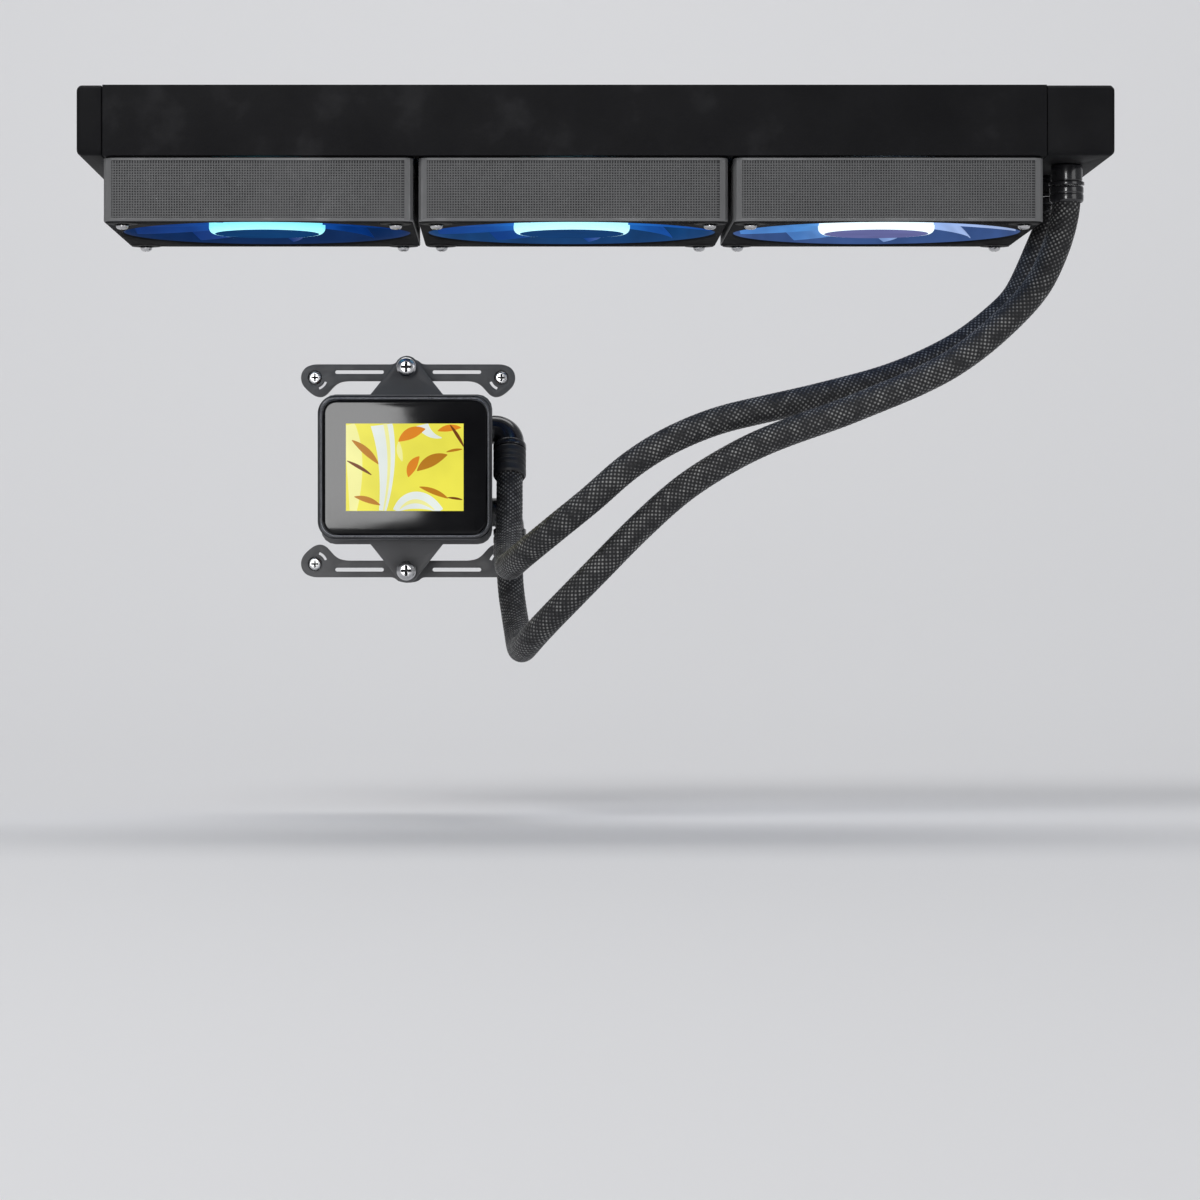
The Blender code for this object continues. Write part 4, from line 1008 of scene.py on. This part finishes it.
def pump():
    spot = (PUMP_X, 0.0, PUMP_Z)
    bevelled("pump_housing", MOULDED, 0.5)
    bevelled("pump_chamber_plate", MOULDED, 0.3)
    bevelled("pump_gasket", SEAL, 0.2)
    bevelled("pump_cold_plate", copper_look(), 0.3)
    bevelled("pump_cable_grommet", SEAL, 0.2)
    for node, look in (("pump_display_panel", MOULDED), ("pump_control_board", CIRCUIT),
                       ("pump_stator", WINDINGS), ("pump_impeller", MOULDED),
                       ("pump_impeller_shaft", STEEL)):
        recoat(node, look)

    # bezel: satin outer rim, then a thin polished step that catches the light
    rims = [(71.0, 7.5, 51.2), (71.0, 7.5, 49.1), (70.8, 7.4, 48.75), (70.4, 7.2, 48.45),
            (69.9, 6.95, 48.3), (69.0, 6.6, 48.25), (68.6, 6.5, 48.25), (68.1, 6.25, 47.85),
            (67.7, 6.05, 47.8), (67.2, 5.8, 48.0), (67.2, 5.8, 51.2)]
    rings = [outline(w, w - 12.0, r, y, 12) for w, r, y in rims]
    verts, faces = skin(rings, join=True)
    per_ring = len(rings[0])
    picks = [1 if k // per_ring in (6, 7) else 0 for k in range(len(faces))]
    make("pump_bezel_rim", verts, faces, [BEZEL, BEZEL_EDGE], ROOT, ("pump_bezel",), 25.0,
         spot, ALONG_Y, picks)
    glass = [(66.2, 5.3, 49.2), (66.6, 5.5, 49.1), (66.6, 5.5, 48.3), (66.3, 5.35, 48.05),
             (65.6, 5.0, 47.93), (64.4, 4.4, 47.9)]
    verts, faces = skin([outline(w, w - 12.0, r, y, 12) for w, r, y in glass])
    make("pump_cover_lens", verts, faces, lens_look(), ROOT, ("pump_lens",), 25.0,
         spot, ALONG_Y)
    picture()


def elbows():
    bend, bore, pump_side = 6.4, 3.4, PUMP_X + 35.3
    for label, (z, lean) in SWIVEL.items():
        tilt = np.array(Matrix.Rotation(radians(lean), 3, "X").transposed())
        spot, body = (LIMB_X, SWIVEL_Y, z), f"elbow_{label}"
        stub = LIMB_X - pump_side
        path = [((-stub, 0, 0), 0.0, ELBOW_R - 0.3), ((-stub + 0.15, 0, 0), 0.0, ELBOW_R)]
        path += [((-bend - 0.05, 0, 0), 0.0, ELBOW_R), ((-bend, 0, 0), 0.0, ELBOW_R)]
        for i in range(1, 12):
            a = pi / 2 * i / 12
            path.append(((-bend + bend * sin(a), 0, -bend + bend * cos(a)), a, ELBOW_R))
        for d, r in ((-bend, ELBOW_R), (-7.3, ELBOW_R), (-7.45, 6.75), (-7.6, 6.85), (-9.4, 6.85),
                     (-9.75, 6.7), (-9.9, 6.4)):
            path.append(((0, 0, d), pi / 2, r))
        inner = [(p, a, bore) for p, a, _ in reversed(path)]
        rings = []
        for p, a, r in path + inner:
            side, up = np.array((0, 1.0, 0)), np.array((sin(a), 0, cos(a)))
            turn = np.linspace(0, 2 * pi, 48, endpoint=False)
            rings.append([tilt @ (np.array(p) + r * (cos(t) * side + sin(t) * up)) for t in turn])
        verts, faces = skin(rings, join=True)
        make(f"elbow_{label}_body", verts, faces, GLOSSY, body, (f"pump_elbow_{label}",),
             40.0, spot)
        sleeve = [(5.8, -10.2), (6.5, -10.2), (6.8, -10.8)]
        for d in (13.0, 15.6, 18.2):
            sleeve += [(6.8, -d), (6.55, -d - 0.2), (6.55, -d - 0.7), (6.8, -d - 0.9)]
        sleeve += [(6.8, -21.8), (6.2, -22.8), (5.8, -22.8)]
        rings = turn_rings(rounded(sleeve, 0.15, 2, closed=True), 56)
        verts, faces = skin(rings @ tilt.T, join=True)
        make(f"elbow_{label}_sleeve", verts, faces, MOULDED, body, (f"pump_ferrule_{label}",),
             40.0, spot)


# ---------------- bracket, rails and screws
def trimmed(points):
    """Closed outline with its corners cut twice, so that they look round."""
    pts = np.array(points, float)
    for _ in range(2):
        after = np.roll(pts, -1, axis=0)
        reach = np.minimum(0.25, 0.8 / np.maximum(np.linalg.norm(after - pts, axis=1), 1e-6))[:, None]
        pts = np.stack([pts + (after - pts) * reach, after - (after - pts) * reach], 1).reshape(-1, 2)
    return pts


def softened(verts, faces, width):
    return solid(applied(bare_mesh(verts, faces), ("BEVEL", dict(
        width=width, segments=3, limit_method="ANGLE", angle_limit=radians(40),
        use_clamp_overlap=True))))


def rail(label, s):
    """Socket rail: plate with lobed ends, slots and stud holes, and the threaded post on it."""
    edge = trimmed(RAIL_HALF + [(-x, y) for x, y in reversed(RAIL_HALF[1:-1])])
    body = skin([[(x, s * y, z) for x, y in edge] for z in (-RAIL_Y1, -RAIL_Y0)])
    through = (-RAIL_Y1 - 1, -RAIL_Y0 + 1)
    hole_r, slot_x, slot_y, slot_long, slot_wide = 2.9, 20.4, 41.4, 20.4, 1.6
    tools = []
    for side in (-1, 1):
        tools.append(skin(turn_rings([(hole_r, z) for z in through], 40)
                          + np.array((side * SOCKET, s * SOCKET, 0.0))))
        mid = (side * slot_x, s * slot_y, 0.0)
        tools.append(skin([[np.array(p) + mid for p in round_rect(slot_long, slot_wide, 0.79, z, 6)]
                           for z in through]))
        arc = []
        for r, turn in ((5.3, 1), (4.2, -1)):
            for i in range(13)[::turn]:
                a = radians(-110 - 50 * i / 12)
                arc.append((side * (SOCKET + r * cos(a)), s * (SOCKET + r * sin(a))))
        tools.append(skin([[(u, v, z) for u, v in arc] for z in through]))
    plate = softened(*cut(*body, *merge(*tools)), 0.28)
    post = [(2.3, -97.0), (2.3, -88.3), (2.6, -88.0), (3.6, -88.0), (3.9, -88.3), (3.9, -97.9), (4.3, -98.1),
            (4.3, -98.4), (0.4, -98.4), (0.4, -97.0)]
    verts, faces = skin(turn_rings(rounded(post, 0.12, 2, closed=True), 48)
                        + np.array((0.0, s * SCREW_DZ, 0.0)), join=True)
    verts, faces = merge(plate, (verts, faces))
    make(f"socket_rail_{label}_plate", verts, faces, BRACKET_COAT, ROOT, (f"socket_rail_{label}",),
         35.0, (PUMP_X, 0.0, PUMP_Z), ALONG_Y)


def mounting():
    bevelled("bracket_plate", BRACKET_COAT, 0.35)
    profile = [(1.7, -94.0), (2.0, -93.6), (2.0, -85.4), (1.5, -85.3), (1.5, -84.3), (2.0, -84.2),
               (2.0, -71.2), (4.05, -71.2), (4.05, -69.4), (3.6, -68.55), (2.4, -68.15), (0.8, -68.1)]
    spring_screw = phillips(profile, 0.35, 2.5, 1.25, -70.0, -67.6, 48)
    stud = phillips([(4.0, -107.0), (4.0, -101.3), (2.6, -101.3), (2.6, -97.3), (2.2, -96.85), (0.6, -96.8)],
                    0.3, 1.75, 0.85, -98.4, -96.5, 40)
    for label, s in (("upper", 1), ("lower", -1)):
        spot = (PUMP_X, 0.0, PUMP_Z + s * SCREW_DZ)
        verts, faces, recess = spring_screw
        make(f"screw_{label}_finish", verts, faces, [STEEL, RECESS_SHADE], f"screw_{label}",
             (f"spring_screw_{label}",), 35.0, spot, ALONG_Y, recess)
        recoat(f"retaining_clip_{label}", STEEL)
        rail(label, s)
        turns, wire, radius, steps, seat, height = 3.5, 0.38, 3.1, 40, -76.2, 4.6
        rows = []
        for i in range(int(turns * steps) + 1):
            a, rise = 2 * pi * i / steps, i / (turns * steps)
            out = np.array((cos(a), sin(a), 0.0))
            z = seat + wire + (height - 2 * wire) * rise
            rows.append([out * (radius + wire * cos(t)) + (0, 0, z + wire * sin(t))
                         for t in np.linspace(0, 2 * pi, 12, endpoint=False)])
        verts, faces = skin(rows)
        coil = make(f"spring_{label}_coil", verts, faces, SPRING_STEEL, None, (), 40.0, spot,
                    ALONG_Y)
        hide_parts(f"spring_{label}")
        x, z = PUMP_X * MM, (PUMP_Z + s * SCREW_DZ) * MM
        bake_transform(coil, ROOT, f"screw_lift_{label}", start=(x, 0.0760, z), end=(x, 0.0716, z))
        for side, sx in (("left", -1), ("right", 1)):
            foot = (PUMP_X + sx * SOCKET, 0.0, PUMP_Z + s * SOCKET)
            verts, faces, recess = stud
            make(f"stud_{label}_{side}", verts, faces, [STEEL, RECESS_SHADE], ROOT,
                 (f"rail_screw_{label}_{side}",), 35.0, foot, ALONG_Y, recess)


WINDINGS = winding_look()
radiator()
for fan_label, fan_x in FANS:
    fan_frame(fan_label, fan_x)
    fan_rotor(fan_label, fan_x)
pump()
elbows()
mounting()

bpy.context.view_layer.update()
